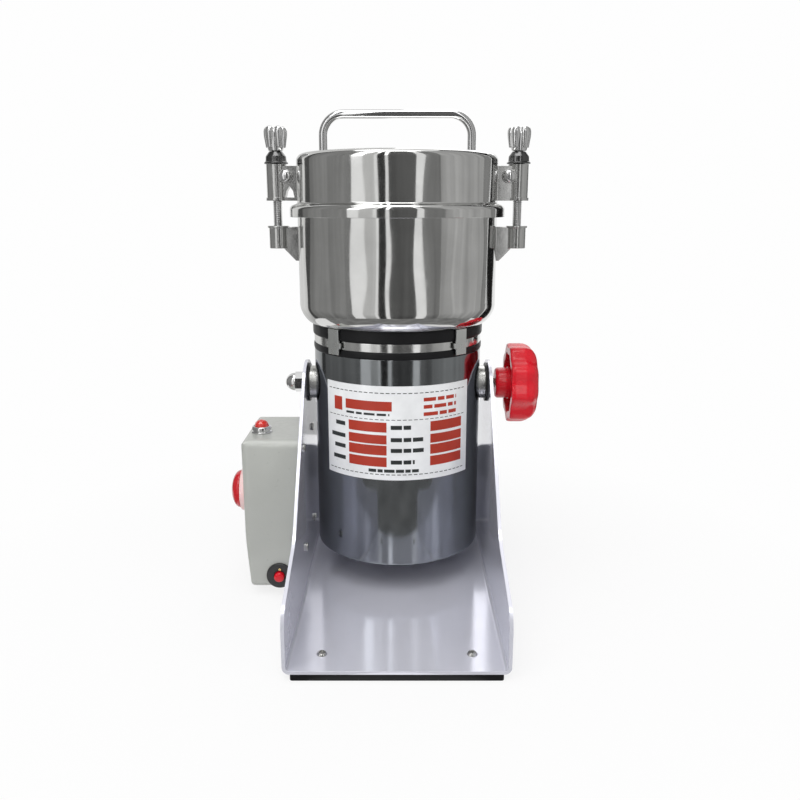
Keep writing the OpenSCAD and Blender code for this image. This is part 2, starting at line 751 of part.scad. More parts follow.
module label_plate() color("white") placed() intersection() {
    ring_z(casing_r + seat_gap / 2 + label_t, casing_r + seat_gap / 2, casing_z + label_up,
           casing_z + label_up + label_h);
    reach = casing_r * 2;
    translate([0, 0, casing_z]) linear_extrude(casing_h)
        polygon([[0, 0], reach * [-sin(label_half_angle), -cos(label_half_angle)], [0, -reach],
                 reach * [sin(label_half_angle), -cos(label_half_angle)]]);
}
module trunnions() color("silver") placed() translate([0, 0, pivot_z]) both_sides() difference() {
    union() {
        rod_x(pad_r, trunnion_x, pad_x);
        rod_x(journal_r, trunnion_x, journal_end_x);
    }
    translate([0, 0, -casing_h / 2]) cylinder(r = casing_r, h = casing_h, $fn = 128);
    rod_x(pivot_thread_r + run_fit, 0, journal_end_x + 1);
}
module pivot_washer() color("silver") placed() mirror([1, 0, 0]) outer_washer();
module lock_washer() color("silver") placed() outer_washer();
module outer_washer() translate([0, 0, pivot_z]) difference() {
    rod_x(pivot_washer_r, journal_end_x, washer_out_x);
    rod_x(pivot_thread_r + move_gap, journal_end_x - 1, washer_out_x + 1);
}
module pivot_bolt() color("gainsboro") placed() translate([-washer_out_x, 0, pivot_z]) rotate([0, -90, 0]) {
    dome_r = dome_head_af / 2;
    hexagon(dome_head_af, dome_head_h * 0.45);
    rotate_extrude() polygon(concat([[0, 0], [dome_r, 0]],
                                    [for (i = [0:ARC_STEPS]) let (a = 90 * i / ARC_STEPS)
                                        [dome_r * cos(a), dome_head_h * (0.5 + 0.5 * sin(a))]]));
    rod_z(pivot_thread_r, casing_r - washer_out_x + 0.5, 1);
}

// ---- Locking knob, on the right (positive X) ----

module lock_stud() color("silver") placed() translate([0, 0, pivot_z])
    rod_x(pivot_thread_r, casing_r + 1, wheel_x + lock_stud_in);
module lock_knob() color("#dc1a2e") placed() translate([hub_x, 0, pivot_z]) rotate([0, 90, 0]) difference() {
    // The dome's skirt stands a little clear of the lobes, so that the two surfaces never touch
    skirt_r = knob_r + seat_gap;
    union() {
        cylinder(r1 = hub_r - 1, r2 = hub_r, h = 1);
        rod_z(hub_r, 1, hub_l + 1);
        translate([0, 0, hub_l]) intersection() {
            linear_extrude(knob_w) polygon(lobed_outline());
            rotate_extrude()
                polygon(concat([[0, 0], [skirt_r - 1.6, 0], [skirt_r, 1.5]],
                               arc(skirt_r - knob_edge_r, knob_w - knob_edge_r, knob_edge_r, 0, 80),
                               [[0, knob_w]]));
        }
    }
    rod_z(pivot_thread_r + move_gap, -1, hub_l + lock_stud_in + move_gap);
}

// ---- Motor ----

module at_tie_bolts() for (a = [90, -90]) rotate(a) translate([tie_circle_r, 0, 0]) children();
module at_pillars() for (a = [45:90:315]) rotate(a) translate([pillar_circle_r, 0, 0]) children();
module stator_core() color("slategray") placed() difference() {
    union() {
        rod_z(stator_r, stator_z, stator_top);
        at_tie_bolts() rod_z(post_bolt_r, stator_z, stator_top);
    }
    difference() {
        rod_z(stator_r - yoke_w, stator_z - 1, stator_top + 1);
        both_sides() pole_solid();
    }
    rod_z(rotor_r + air_gap, stator_z - 2, stator_top + 2);
    at_tie_bolts() rod_z(tie_r + seat_gap, stator_z - 1, stator_top + 1);
}
module pole_solid() {
    translate([rotor_r, -pole_root, stator_z])
        cube([stator_r - rotor_r - yoke_w / 2, 2 * pole_root, stator_h]);
    intersection() {
        rod_z(rotor_r + air_gap + shoe_t, stator_z, stator_top);
        shoe_reach = 2 * rotor_r;
        translate([0, 0, stator_z]) linear_extrude(stator_h)
            polygon([[0, 0], shoe_reach * [cos(shoe_angle), -sin(shoe_angle)], [shoe_reach * 1.2, 0],
                     shoe_reach * [cos(shoe_angle), sin(shoe_angle)]]);
    }
}
module field_coils() color("#b06030") placed() both_sides() intersection() {
    coil_x = rotor_r + air_gap + shoe_t + seat_gap;
    outer_r = stator_r - yoke_w - seat_gap;
    difference() {
        along_x(coil_x, outer_r)
            polygon(rounded_rect(-coil_half_w, stator_z - coil_over, coil_half_w, stator_top + coil_over,
                                 coil_corner_r));
        along_x(coil_x - 1, outer_r + 1)
            polygon(rect(-pole_root - seat_gap, stator_z - seat_gap, pole_root + seat_gap,
                         stator_top + seat_gap));
    }
    rod_z(outer_r, stator_z - coil_over, stator_top + coil_over);
}
// Plate with vents, a bearing hub and posts that reach the stator
module shield_plate(z) difference() {
    rod_z(shield_r, z, z + shield_t);
    for (a = [0:60:300]) rotate(a + 30) translate([shield_vent_circle_r, 0, 0])
        rod_z(shield_vent_r, z - 1, z + shield_t + 1);
}
module lower_end_shield() color("#9a9c9e") placed() difference() {
    union() {
        shield_plate(lower_shield_z);
        rod_z(bearing_r + hub_wall, lower_shield_z - 2, lower_shield_top + 2);
        at_tie_bolts() rod_z(post_bolt_r, lower_shield_z, stator_z);
    }
    rod_z(bearing_r + seat_gap, lower_shield_top + 2 - bearing_h, lower_shield_top + 3);
    rod_z(shaft_r + 1.5, lower_shield_z - 3, lower_shield_top + 3);
    at_tie_bolts() rod_z(tie_r + seat_gap, lower_shield_z - 1, stator_z + 1);
}
module upper_end_shield() color("#9a9c9e") placed() difference() {
    union() {
        shield_plate(upper_shield_z);
        rod_z(bearing_r + hub_wall, upper_shield_z, upper_shield_z + shield_t + 4);
        at_tie_bolts() rod_z(post_bolt_r, stator_top, upper_shield_z + shield_t);
        at_pillars() rod_z(pillar_r, upper_shield_z, bowl_z);
    }
    rod_z(bearing_r + seat_gap, upper_shield_z - 1, upper_shield_z + bearing_h);
    rod_z(shaft_r + 1.5, upper_shield_z - 2, upper_shield_z + shield_t + 5);
    at_tie_bolts() rod_z(tie_r + seat_gap, stator_top - 1, upper_shield_z + shield_t + 1);
    at_pillars() rod_z(bolt_r + seat_gap, bowl_z - bowl_bolt_l - 4, bowl_z + 1);
}
module bearings() color("gainsboro") placed() {
    bearing_ring(lower_shield_top + 2 - bearing_h);
    bearing_ring(upper_shield_z);
}
module bearing_ring(z) ring_z(bearing_r, shaft_r + run_fit, z, z + bearing_h);
module at_brushes() for (a = [0, 180]) rotate(a) translate([0, 0, brush_z]) children();
module brush_holders() color("#b89b5a") placed() at_brushes() difference() {
    outer_w = brush_w / 2 + holder_t;
    union() {
        along_y(holder_in, holder_out) polygon(rect(-outer_w, -brush_h / 2 - 2, outer_w, brush_h / 2 + 2));
        along_y(holder_out - holder_leg_w, holder_out)
            polygon(rect(-outer_w, lower_shield_top - brush_z, outer_w, 0));
    }
    along_y(0, brush_end)
        polygon(rect(-brush_w / 2 - seat_gap, -brush_h / 2 - seat_gap, brush_w / 2 + seat_gap,
                     brush_h / 2 + seat_gap));
}
module carbon_brushes() color("#303030") placed() at_brushes()
    along_y(brush_in, brush_end - seat_gap)
        polygon(rect(-brush_w / 2, -brush_h / 2, brush_w / 2, brush_h / 2));
module tie_bolts() color("silver") placed() at_tie_bolts() {
    rod_z(tie_r, cover_z, upper_shield_z + shield_t + 4);
    rod_z(tie_r * 1.75, casing_z, cover_z);
    rod_z(tie_r * 1.75, upper_shield_z + shield_t, upper_shield_z + shield_t + 3);
    rod_z(tie_r * 1.75, cover_z + cover_t, lower_shield_z);
}

// ---- Neck ----

module lower_ring() color("#141414") placed() ring_z(casing_r + 0.4, ring_in_r, casing_top, band_z);
module neck_band() color("silver") placed() ring_z(casing_r, ring_in_r, band_z, upper_ring_z);
module upper_ring() color("#141414") placed() ring_z(casing_r + 0.8, ring_in_r, upper_ring_z, bowl_z);
module neck_clips() color("#c8ccc8") placed()
    for (a = [clip_angle, 180 - clip_angle, 180 + clip_angle, -clip_angle]) rotate(a - 90) {
        translate([clip_face_r, -clip_w / 2, clip_z]) cube([clip_t, clip_w, clip_top - clip_z]);
        translate([clip_face_r, -clip_w / 2 - clip_tab, band_z + 1])
            cube([clip_t, clip_w + 2 * clip_tab, band_h - 2]);
        translate([casing_r + 0.05, -clip_w / 4, band_z + 1.5])
            cube([clip_face_r - casing_r, clip_w / 2, band_h - 3]);
    }

// ---- Bowl ----

module bowl() color("#b4b6b8") placed() difference() {
    in_corner_r = bowl_corner_z - chamber_z;
    rim_r = bowl_r + rim_r_add;
    rotate_extrude($fn = 128)
        polygon(concat([[seal_r + seat_gap, bowl_floor_z], [foot_ring_r - foot_ring_w, bowl_floor_z],
                        [foot_ring_r - foot_ring_w, bowl_z]],
                       arc(bowl_r - bowl_corner_r, bowl_corner_z, bowl_corner_r, -bowl_cut_angle, 0),
                       [[bowl_r, rim_z - 1.5 * rim_h], [rim_r, rim_z - rim_h], [rim_r, rim_z],
                        [bowl_in_r, rim_z]],
                       arc(bowl_in_r - in_corner_r, bowl_corner_z, in_corner_r, 0, -90),
                       [[seal_r + seat_gap, chamber_z]]));
    at_pillars() rod_z(bolt_r + seat_gap, bowl_z - 1, chamber_z + 1);
}
module bowl_bolts() color("silver") placed() at_pillars() {
    rod_z(bolt_r, bowl_z - bowl_bolt_l, chamber_z);
    translate([0, 0, chamber_z]) cylinder(r1 = bolt_r * 1.8, r2 = bolt_r * 1.3, h = 2);
}
module shaft_seal() color("#c8b070") placed() difference() {
    union() {
        rod_z(seal_r, bowl_z - seal_down, chamber_z);
        rod_z(seal_flange_r, chamber_z, chamber_z + seal_flange_t);
    }
    rod_z(shaft_r + run_fit, bowl_z - seal_down - 1, chamber_z + seal_flange_t + 1);
}
// Threaded barrel on a gusset, for one clamp at positive X
module barrel_lug() difference() {
    flange = [0.9, 1.3];
    gusset_half = 2.5;
    gusset_top = barrel_top - 0.6;
    gusset_z = barrel_z - 8;
    union() {
        translate([clamp_x, 0, 0]) {
            rod_z(barrel_r, barrel_z, barrel_top);
            rod_z(barrel_r + flange[0], barrel_top - flange[1], barrel_top);
        }
        along_y(-gusset_half, gusset_half)
            polygon([[bowl_r - 2, gusset_top], [clamp_x, gusset_top], [clamp_x, barrel_z + barrel_h / 4],
                     [bowl_r + 2, gusset_z], [bowl_r - 2, gusset_z]]);
    }
    rod_z(bowl_r, gusset_z - 1, barrel_top + 1, $fn = 128);
    translate([clamp_x, 0, 0]) rod_z(stud_r + run_fit, barrel_z - 1, barrel_top + 1);
}
module bowl_barrels() color("#a0a2a4") placed() both_sides() barrel_lug();

// ---- Rotor ----

module rotor_shaft() color("gainsboro") placed() {
    rod_z(shaft_r, shaft_bottom, shaft_top);
    rod_z(collar_r, collar_z, lower_blade_z);
}
module armature_core() color("slategray") placed() difference() {
    rod_z(rotor_r, armature_z, armature_z + stator_h);
    rod_z(shaft_r + press_fit, armature_z - 1, armature_z + stator_h + 1);
    slot_w = 3;
    for (a = [0:30:330]) rotate(a) translate([rotor_r - 6, -slot_w / 2, armature_z - 1])
        cube([8, slot_w, stator_h + 2]);
}
module armature_windings() color("#b5632a") placed() {
    head_r = rotor_r - 3;
    head_h = 7;
    ring_z(head_r, shaft_r + press_fit, armature_z - head_h, armature_z);
    ring_z(head_r, shaft_r + press_fit, armature_z + stator_h, armature_z + stator_h + head_h);
}
module commutator() color("#b87333") placed() difference() {
    rod_z(commutator_r, commutator_z, commutator_z + commutator_h);
    rod_z(shaft_r + press_fit, commutator_z - 1, commutator_z + commutator_h + 1);
    slit_w = 0.5;
    for (i = [0:commutator_bars - 1]) rotate(360 * i / commutator_bars)
        translate([commutator_r - 1, -slit_w / 2, commutator_z - 1]) cube([2, slit_w, commutator_h + 2]);
}
module cooling_fan() color("#303030") placed() difference() {
    sheet = 1.5;
    fan_hub_r = 9;
    union() {
        rod_z(fan_r, fan_z, fan_z + sheet);
        rod_z(fan_hub_r, fan_z, fan_z + fan_h);
        for (i = [0:fan_blades - 1]) rotate(360 * i / fan_blades)
            translate([fan_hub_r - 1, -sheet / 2, fan_z + 1]) cube([fan_r - fan_hub_r, sheet, fan_h - 1]);
    }
    rod_z(shaft_r + press_fit, fan_z - 1, fan_z + fan_h + 1);
}
// Flat two-ended blade with slanted tips
module blade(z) difference() {
    tip = blade_w * 0.35;
    translate([0, 0, z]) linear_extrude(blade_t)
        polygon([[-blade_r, -blade_w * 0.1], [-blade_r * 0.8, -blade_w * 0.45], [0, -blade_w / 2],
                 [blade_r * 0.8, -tip], [blade_r, blade_w * 0.1], [blade_r * 0.8, blade_w * 0.45],
                 [0, blade_w / 2], [-blade_r * 0.8, tip]]);
    rod_z(shaft_r + press_fit, z - 1, z + blade_t + 1);
}
module lower_blade() color("silver") placed() blade(lower_blade_z);
module blade_spacer() color("silver") placed()
    ring_z(collar_r, shaft_r + press_fit, lower_blade_z + blade_t, upper_blade_z);
module upper_blade() color("silver") placed() rotate(90) blade(upper_blade_z);
module blade_nut() color("gainsboro") placed() difference() {
    translate([0, 0, nut_z]) hexagon(2 * collar_r, nut_h);
    rod_z(shaft_r + press_fit, nut_z - 1, nut_z + nut_h + 1);
}

// ---- Lid ----

module lid() color("#b4b6b8") placed() difference() {
    lip_t = 1.2;
    lip_r = bowl_r + lip_out;
    lip_z = lid_wall_z - lip_drop;
    round_r = 3;
    round_to = 70;
    round_z = lid_wall_z - 1 - round_r * sin(round_to);
    rotate_extrude($fn = 128)
        polygon(concat([[lip_r - lip_t, lip_z], [lip_r, lip_z]],
                       arc(lip_r - round_r, round_z, round_r, 0, round_to), [[bowl_r, lid_wall_z]],
                       arc(bowl_r - lid_corner_r, lid_top - lid_corner_r, lid_corner_r, 0, 90),
                       [[0, lid_top], [0, lid_top - bowl_t]],
                       arc(bowl_r - lid_corner_r, lid_top - lid_corner_r, lid_corner_r - bowl_t, 90, 0),
                       [[bowl_in_r, lid_wall_z - 0.4]],
                       arc(lip_r - round_r, round_z, round_r - lip_t, round_to, 0)));
    both_sides() translate([leg_x, 0, 0]) rod_z(spigot_r + seat_gap, lid_top - bowl_t - 1, lid_top + 1);
}
module lid_gasket() color("#d8d4cc") placed() {
    gasket_r = bowl_in_r - seat_gap;
    gasket_w = 3;
    foot_z = rim_z + move_gap;
    shoulder_z = lid_wall_z - 1;
    gasket_top = shoulder_z + 2;
    rotate_extrude($fn = 128)
        polygon([[gasket_r - gasket_w, foot_z], [gasket_r + gasket_w - move_gap, foot_z],
                 [gasket_r, shoulder_z], [gasket_r, gasket_top], [gasket_r - gasket_w, gasket_top]]);
}
module handle() color("silver") placed() {
    rod_z_level = handle_top - rod_r;
    bend_z = rod_z_level - handle_bend_r;
    both_sides() {
        translate([leg_x, 0, 0]) {
            rod_z(rod_r, lid_top, bend_z);
            rod_z(spigot_r, handle_nut_z - 1, lid_top + 1);
        }
        translate([leg_x - handle_bend_r, 0, bend_z]) rotate([90, 0, 0])
            rotate_extrude(angle = 90) translate([handle_bend_r, 0]) circle(r = rod_r);
    }
    translate([0, 0, rod_z_level]) rod_x(rod_r, -leg_x + handle_bend_r, leg_x - handle_bend_r);
}
module handle_nuts() color("silver") placed() both_sides() translate([leg_x, 0, 0]) difference() {
    translate([0, 0, handle_nut_z]) hexagon(handle_nut_af, handle_nut_h);
    rod_z(spigot_r + seat_gap, handle_nut_z - 1, lid_top);
}

// ---- Clamps ----

// Bracket with its sleeve for one clamp at positive X
module clamp_bracket(window) difference() {
    foot_ring = [0.6, 1.8];
    union() {
        translate([clamp_x, 0, 0]) {
            rod_z(sleeve_r, sleeve_z, sleeve_top);
            rod_z(sleeve_r + foot_ring[0], sleeve_z, sleeve_z + foot_ring[1]);
        }
        along_y(-ear_t / 2, ear_t / 2) polygon(rect(bowl_r - 2, sleeve_z, clamp_x, sleeve_top - 1));
        translate([rivet_x, 0, rivet_z]) rod_y(rivet_r + 0.3, -rivet_boss, rivet_boss);
    }
    rod_z(bowl_r, sleeve_z - 1, sleeve_top + 1, $fn = 128);
    translate([clamp_x, 0, 0]) rod_z(stud_hole_r, sleeve_z - 1, sleeve_top + 1);
    translate([rivet_x, 0, rivet_z]) rod_y(rivet_shank_r + seat_gap, -ear_t, ear_t);
    if (window) along_y(-ear_t, ear_t)
        polygon([[bowl_r + 1.6, sleeve_z + 2], [rivet_x + 0.8, sleeve_z + 2], [rivet_x - 0.2, sleeve_z + 6],
                 [rivet_x - 2.2, sleeve_z + 9], [bowl_r + 2.4, sleeve_z + 6]]);
}
module clamp_brackets() color("#a0a2a4") placed() {
    clamp_bracket(false);
    mirror([1, 0, 0]) clamp_bracket(true);
}
module bracket_rivets() color("gainsboro") placed() both_sides()
    translate([rivet_x, 0, rivet_z]) {
        rod_y(rivet_shank_r, -rivet_boss - 0.5, rivet_boss + 0.5);
        for (turn = [0, 180]) rotate(turn) translate([0, -rivet_boss, 0]) rotate([90, 0, 0])
            rotate_extrude() polygon(concat([[0, 0], [rivet_r, 0]],
                                            [for (i = [1:ARC_STEPS]) let (a = 90 * i / ARC_STEPS)
                                                [rivet_r * cos(a), rivet_r * 0.7 * sin(a)]]));
    }
// Cap washer of one clamp at positive X
module cap_washer() translate([clamp_x, 0, cap_z]) difference() {
    flange_r = sleeve_r + 1.1;
    flange_t = 0.8;
    rotate_extrude() polygon([[0, 0], [flange_r, 0], [flange_r, flange_t], [sleeve_r + 0.3, flange_t + 0.6],
                              [sleeve_r + 0.1, collar_h], [sleeve_r, collar_h],
                              [sleeve_r - 2.2, collar_h + cone_h], [0, collar_h + cone_h]]);
    rod_z(stud_hole_r, -1, collar_h + cone_h + 1);
}
module left_cap_washer() color("silver") placed() mirror([1, 0, 0]) cap_washer();
module right_cap_washer() color("silver") placed() cap_washer();
// Stud with a lobed head, for one clamp at positive X
module hand_screw() translate([clamp_x, 0, 0]) {
    rod_z(stud_r, stud_z, crown_z + 4);
    translate([0, 0, crown_z]) cylinder(r1 = crown_r * 0.55, r2 = crown_r * 0.72, h = crown_h * 0.6);
    for (i = [0:crown_lobes - 1]) rotate(360 * i / crown_lobes + 90) {
        lobe_x = crown_r - lobe_r;
        translate([lobe_x, 0, crown_z + 2])
            cylinder(r1 = lobe_r * 0.6, r2 = lobe_r, h = crown_h - 2 - lobe_r);
        translate([lobe_x, 0, crown_z + crown_h - lobe_r]) sphere(r = lobe_r, $fn = 32);
    }
}
module left_hand_screw() color("silver") placed() mirror([1, 0, 0]) hand_screw();
module right_hand_screw() color("silver") placed() hand_screw();

base_bracket();
foot_strips();
foot_screws();
pivot_bushes();
box_shell();
box_screws();
lamp_bezel();
lamp_lens();
timer_body();
timer_dial();
timer_knob();
breaker_body();
reset_bezel();
reset_button();
reset_spring();
cord_gland();
casing();
bottom_cover();
label_plate();
trunnions();
pivot_washer();
pivot_bolt();
lock_washer();
lock_stud();
lock_knob();
stator_core();
field_coils();
lower_end_shield();
upper_end_shield();
bearings();
brush_holders();
carbon_brushes();
tie_bolts();
lower_ring();
neck_band();
upper_ring();
neck_clips();
bowl_bolts();
bowl();
bowl_barrels();
shaft_seal();
rotor_shaft();
armature_core();
armature_windings();
commutator();
cooling_fan();
lower_blade();
blade_spacer();
upper_blade();
blade_nut();
lid();
lid_gasket();
handle();
handle_nuts();
clamp_brackets();
bracket_rivets();
left_cap_washer();
right_cap_washer();
left_hand_screw();
right_hand_screw();
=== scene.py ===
"""Looks of a tilting electric grain mill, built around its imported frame.

Shapes are made in millimetres, with X and Y from the mill's own axis and Z from the ground, and are
brought to the frame's metres when they become pieces.
"""

import json
import logging
import math
from collections.abc import Iterable, Sequence
from dataclasses import dataclass, field
from enum import Enum

import bmesh
import bpy
from mathutils import Matrix, Vector

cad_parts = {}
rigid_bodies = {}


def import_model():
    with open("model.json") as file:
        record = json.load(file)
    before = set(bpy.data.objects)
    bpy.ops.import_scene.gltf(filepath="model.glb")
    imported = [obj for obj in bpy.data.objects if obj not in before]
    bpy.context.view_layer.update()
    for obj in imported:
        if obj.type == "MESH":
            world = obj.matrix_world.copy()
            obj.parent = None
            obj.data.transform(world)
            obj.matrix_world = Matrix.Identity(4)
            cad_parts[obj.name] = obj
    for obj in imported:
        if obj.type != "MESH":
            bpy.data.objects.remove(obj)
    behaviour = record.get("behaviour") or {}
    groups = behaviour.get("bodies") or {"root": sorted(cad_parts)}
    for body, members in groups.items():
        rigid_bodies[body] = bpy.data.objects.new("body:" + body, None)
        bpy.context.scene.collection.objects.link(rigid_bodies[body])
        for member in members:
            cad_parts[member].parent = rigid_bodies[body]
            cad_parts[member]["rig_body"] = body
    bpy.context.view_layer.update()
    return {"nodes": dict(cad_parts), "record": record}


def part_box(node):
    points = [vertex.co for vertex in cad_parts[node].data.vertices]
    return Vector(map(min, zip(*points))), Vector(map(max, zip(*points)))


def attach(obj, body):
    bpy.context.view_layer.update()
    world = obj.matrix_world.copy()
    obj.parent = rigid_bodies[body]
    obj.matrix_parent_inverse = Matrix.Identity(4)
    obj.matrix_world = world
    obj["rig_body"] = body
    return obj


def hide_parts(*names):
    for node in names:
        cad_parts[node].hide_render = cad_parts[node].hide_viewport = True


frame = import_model()

LOG = logging.getLogger("mill")
MM = 0.001  # metres in a millimetre
STEPS = 128  # steps of a full turn on a wide piece
SMALL_STEPS = 48  # the same on a small piece
WELD = 0.0004  # corners nearer than this are one, in millimetres
SEAM = 0.01  # the same between the turns of a thread
FLAT = 0.3  # faces that differ by less than this are one, in degrees
ROUNDED = 32.0  # edges that turn by more than this are rounded, in degrees
SCREW_EDGE = 0.15  # width of the eased edges of screw heads
CREASE = 34.0  # edges that turn by more than this stay sharp, in degrees
ROUND_CREASE = 50.0  # the same on round bars and threads

Corner = tuple[float, ...]
Colour = tuple[float, float, float]
Socket = bpy.types.NodeSocket


class Slot(Enum):
    """Material slots of the record."""

    BRACKET = "bracket_paint"
    BOX = "box_paint"
    RUBBER = "rubber"
    SILICONE = "silicone"
    BLACK = "black_plastic"
    GREY = "grey_plastic"
    WHITE = "white_plastic"
    RED = "red_plastic"
    LENS = "amber_lens"
    CHROME = "chrome"
    POLISHED = "polished_steel"
    BRUSHED = "brushed_steel"
    ZINC = "zinc_steel"
    LABEL = "label"
    LAMINATION = "lamination"
    COPPER = "copper"
    CAST = "cast_aluminium"
    BRASS = "brass"
    CARBON = "carbon"


class Side(Enum):
    """Left and right of the mill, as the sign of X."""

    LEFT = -1
    RIGHT = 1


class Grain(Enum):
    """Direction of the fine marks on a metal."""

    TURNED = "rings round the mill's axis"
    SATIN = "no direction"


class Aim(Enum):
    """Where a shape made along Z can point, as a turn in degrees and its axis."""

    RIGHT = (90, "Y")
    LEFT = (-90, "Y")
    REAR = (-90, "X")
    UP = (0, "X")


@dataclass(frozen=True)
class Span:
    """Box of a node, in millimetres from the mill's axis and the ground.

    Attributes:
        low: Its lowest corner.
        high: Its highest corner.
    """

    low: Vector
    high: Vector

    @classmethod
    def of(cls, node: str) -> "Span":
        """Read a node's box.

        Args:
            node: Name of the node.

        Returns:
            Its box in millimetres.
        """
        low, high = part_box(node)
        return cls((low - AXIS) / MM, (high - AXIS) / MM)

    @property
    def centre(self) -> Vector:
        """Middle of the box."""
        return (self.low + self.high) / 2

    @property
    def size(self) -> Vector:
        """Lengths of the box."""
        return self.high - self.low


def mill_axis() -> Vector:
    """Find the foot of the mill's axis in the frame, in metres."""
    low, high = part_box("neck_band")
    return Vector(((low.x + high.x) / 2, (low.y + high.y) / 2, 0.0))


AXIS = mill_axis()


# ---------------------------------------------------------------- finishes


RING_DRIFT = 0.004  # change of turned marks along their rings, as a share of that across them


def new_material(name: str) -> bpy.types.Material:
    """Make a material that uses nodes.

    Args:
        name: Its name.

    Returns:
        The material.
    """
    material = bpy.data.materials.new(name)
    material.use_nodes = True
    return material


class Graph:
    """Node tree of a material or of the world."""

    def __init__(self, tree: bpy.types.NodeTree, output: str = "ShaderNodeOutputMaterial") -> None:
        """Empty a tree and give it its output.

        Args:
            tree: The tree.
            output: Node type of the output.
        """
        self.tree = tree
        self.tree.nodes.clear()
        self.output = self.node(output)

    def node(self, kind: str, **inputs: object) -> bpy.types.Node:
        """Add a node and set its inputs by name, with _ for a space.

        Args:
            kind: Node type.
            inputs: Values of its input sockets.

        Returns:
            The node.
        """
        node = self.tree.nodes.new(kind)
        for name, value in inputs.items():
            node.inputs[name.replace("_", " ")].default_value = value
        return node

    def link(self, source: Socket, target: Socket) -> None:
        """Join an output socket to an input socket."""
        self.tree.links.new(source, target)

    def show(self, shader: Socket) -> None:
        """Make a shader the tree's surface."""
        self.link(shader, self.output.inputs["Surface"])

    def place(self, scale: Sequence[float] = (1.0, 1.0, 1.0)) -> Socket:
        """Position on the piece, in metres from the mill's axis.

        Args:
            scale: Stretch of the pattern along each axis.

        Returns:
            A vector socket.
        """
        where = self.node("ShaderNodeTexCoord")
        moved = self.node("ShaderNodeMapping")
        moved.inputs["Location"].default_value = [-a * s for a, s in zip(AXIS, scale)]
        moved.inputs["Scale"].default_value = scale
        self.link(where.outputs["Object"], moved.inputs["Vector"])
        return moved.outputs["Vector"]

    def length(self, vector: Socket) -> Socket:
        """Length of a vector.

        Args:
            vector: A vector socket.

        Returns:
            A value socket.
        """
        node = self.node("ShaderNodeVectorMath")
        node.operation = "LENGTH"
        self.link(vector, node.inputs[0])
        return node.outputs["Value"]

    def reckon(self, operation: str, first: Socket,
               second: Socket | float) -> Socket:
        """Combine two values.

        Args:
            operation: Name of the Math node's operation.
            first: A value socket.
            second: A value socket or a number.

        Returns:
            A value socket.
        """
        node = self.node("ShaderNodeMath")
        node.operation = operation
        self.link(first, node.inputs[0])
        if isinstance(second, float):
            node.inputs[1].default_value = second
        else:
            self.link(second, node.inputs[1])
        return node.outputs["Value"]

    def mixed(self, share: Socket, first: bpy.types.Node,
              second: bpy.types.Node) -> Socket:
        """Mix two shaders.

        Args:
            share: Share of the second shader, 0 to 1.
            first: First shader's node.
            second: Second shader's node.

        Returns:
            A shader socket.
        """
        node = self.node("ShaderNodeMixShader")
        for index, source in enumerate((share, first.outputs[0], second.outputs[0])):
            self.link(source, node.inputs[index])
        return node.outputs[0]

    def rings(self) -> Socket:
        """Position as radius, a slow drift and height, for marks that run round the mill's axis.

        Returns:
            A vector socket.
        """
        parts = self.node("ShaderNodeSeparateXYZ")
        self.link(self.place(), parts.inputs["Vector"])
        flat = self.node("ShaderNodeCombineXYZ")
        self.link(parts.outputs["X"], flat.inputs["X"])
        self.link(parts.outputs["Y"], flat.inputs["Y"])
        joined = self.node("ShaderNodeCombineXYZ")
        self.link(self.length(flat.outputs["Vector"]), joined.inputs["X"])
        self.link(self.reckon("MULTIPLY", parts.outputs["X"], RING_DRIFT), joined.inputs["Y"])
        self.link(parts.outputs["Z"], joined.inputs["Z"])
        return joined.outputs["Vector"]

    def noise(self, vector: Socket, size: float, detail: float) -> Socket:
        """Soft noise.

        Args:
            vector: Where it is read.
            size: Size of its features in millimetres.
            detail: Octaves.

        Returns:
            A value socket, about 0.3 to 0.7.
        """
        node = self.node("ShaderNodeTexNoise", Scale=1000.0 / size, Detail=detail, Roughness=0.55)
        self.link(vector, node.inputs["Vector"])
        return node.outputs["Fac"]

    def spread(self, value: Socket, low: float, high: float,
               start: float = 0.3, stop: float = 0.7) -> Socket:
        """Map a value from start and stop to low and high.

        Args:
            value: The value.
            low: Result at start.
            high: Result at stop.
            start: Value that gives low.
            stop: Value that gives high.

        Returns:
            A value socket.
        """
        node = self.node("ShaderNodeMapRange")
        for index, number in enumerate((start, stop, low, high), start=1):
            node.inputs[index].default_value = number
        self.link(value, node.inputs[0])
        return node.outputs[0]


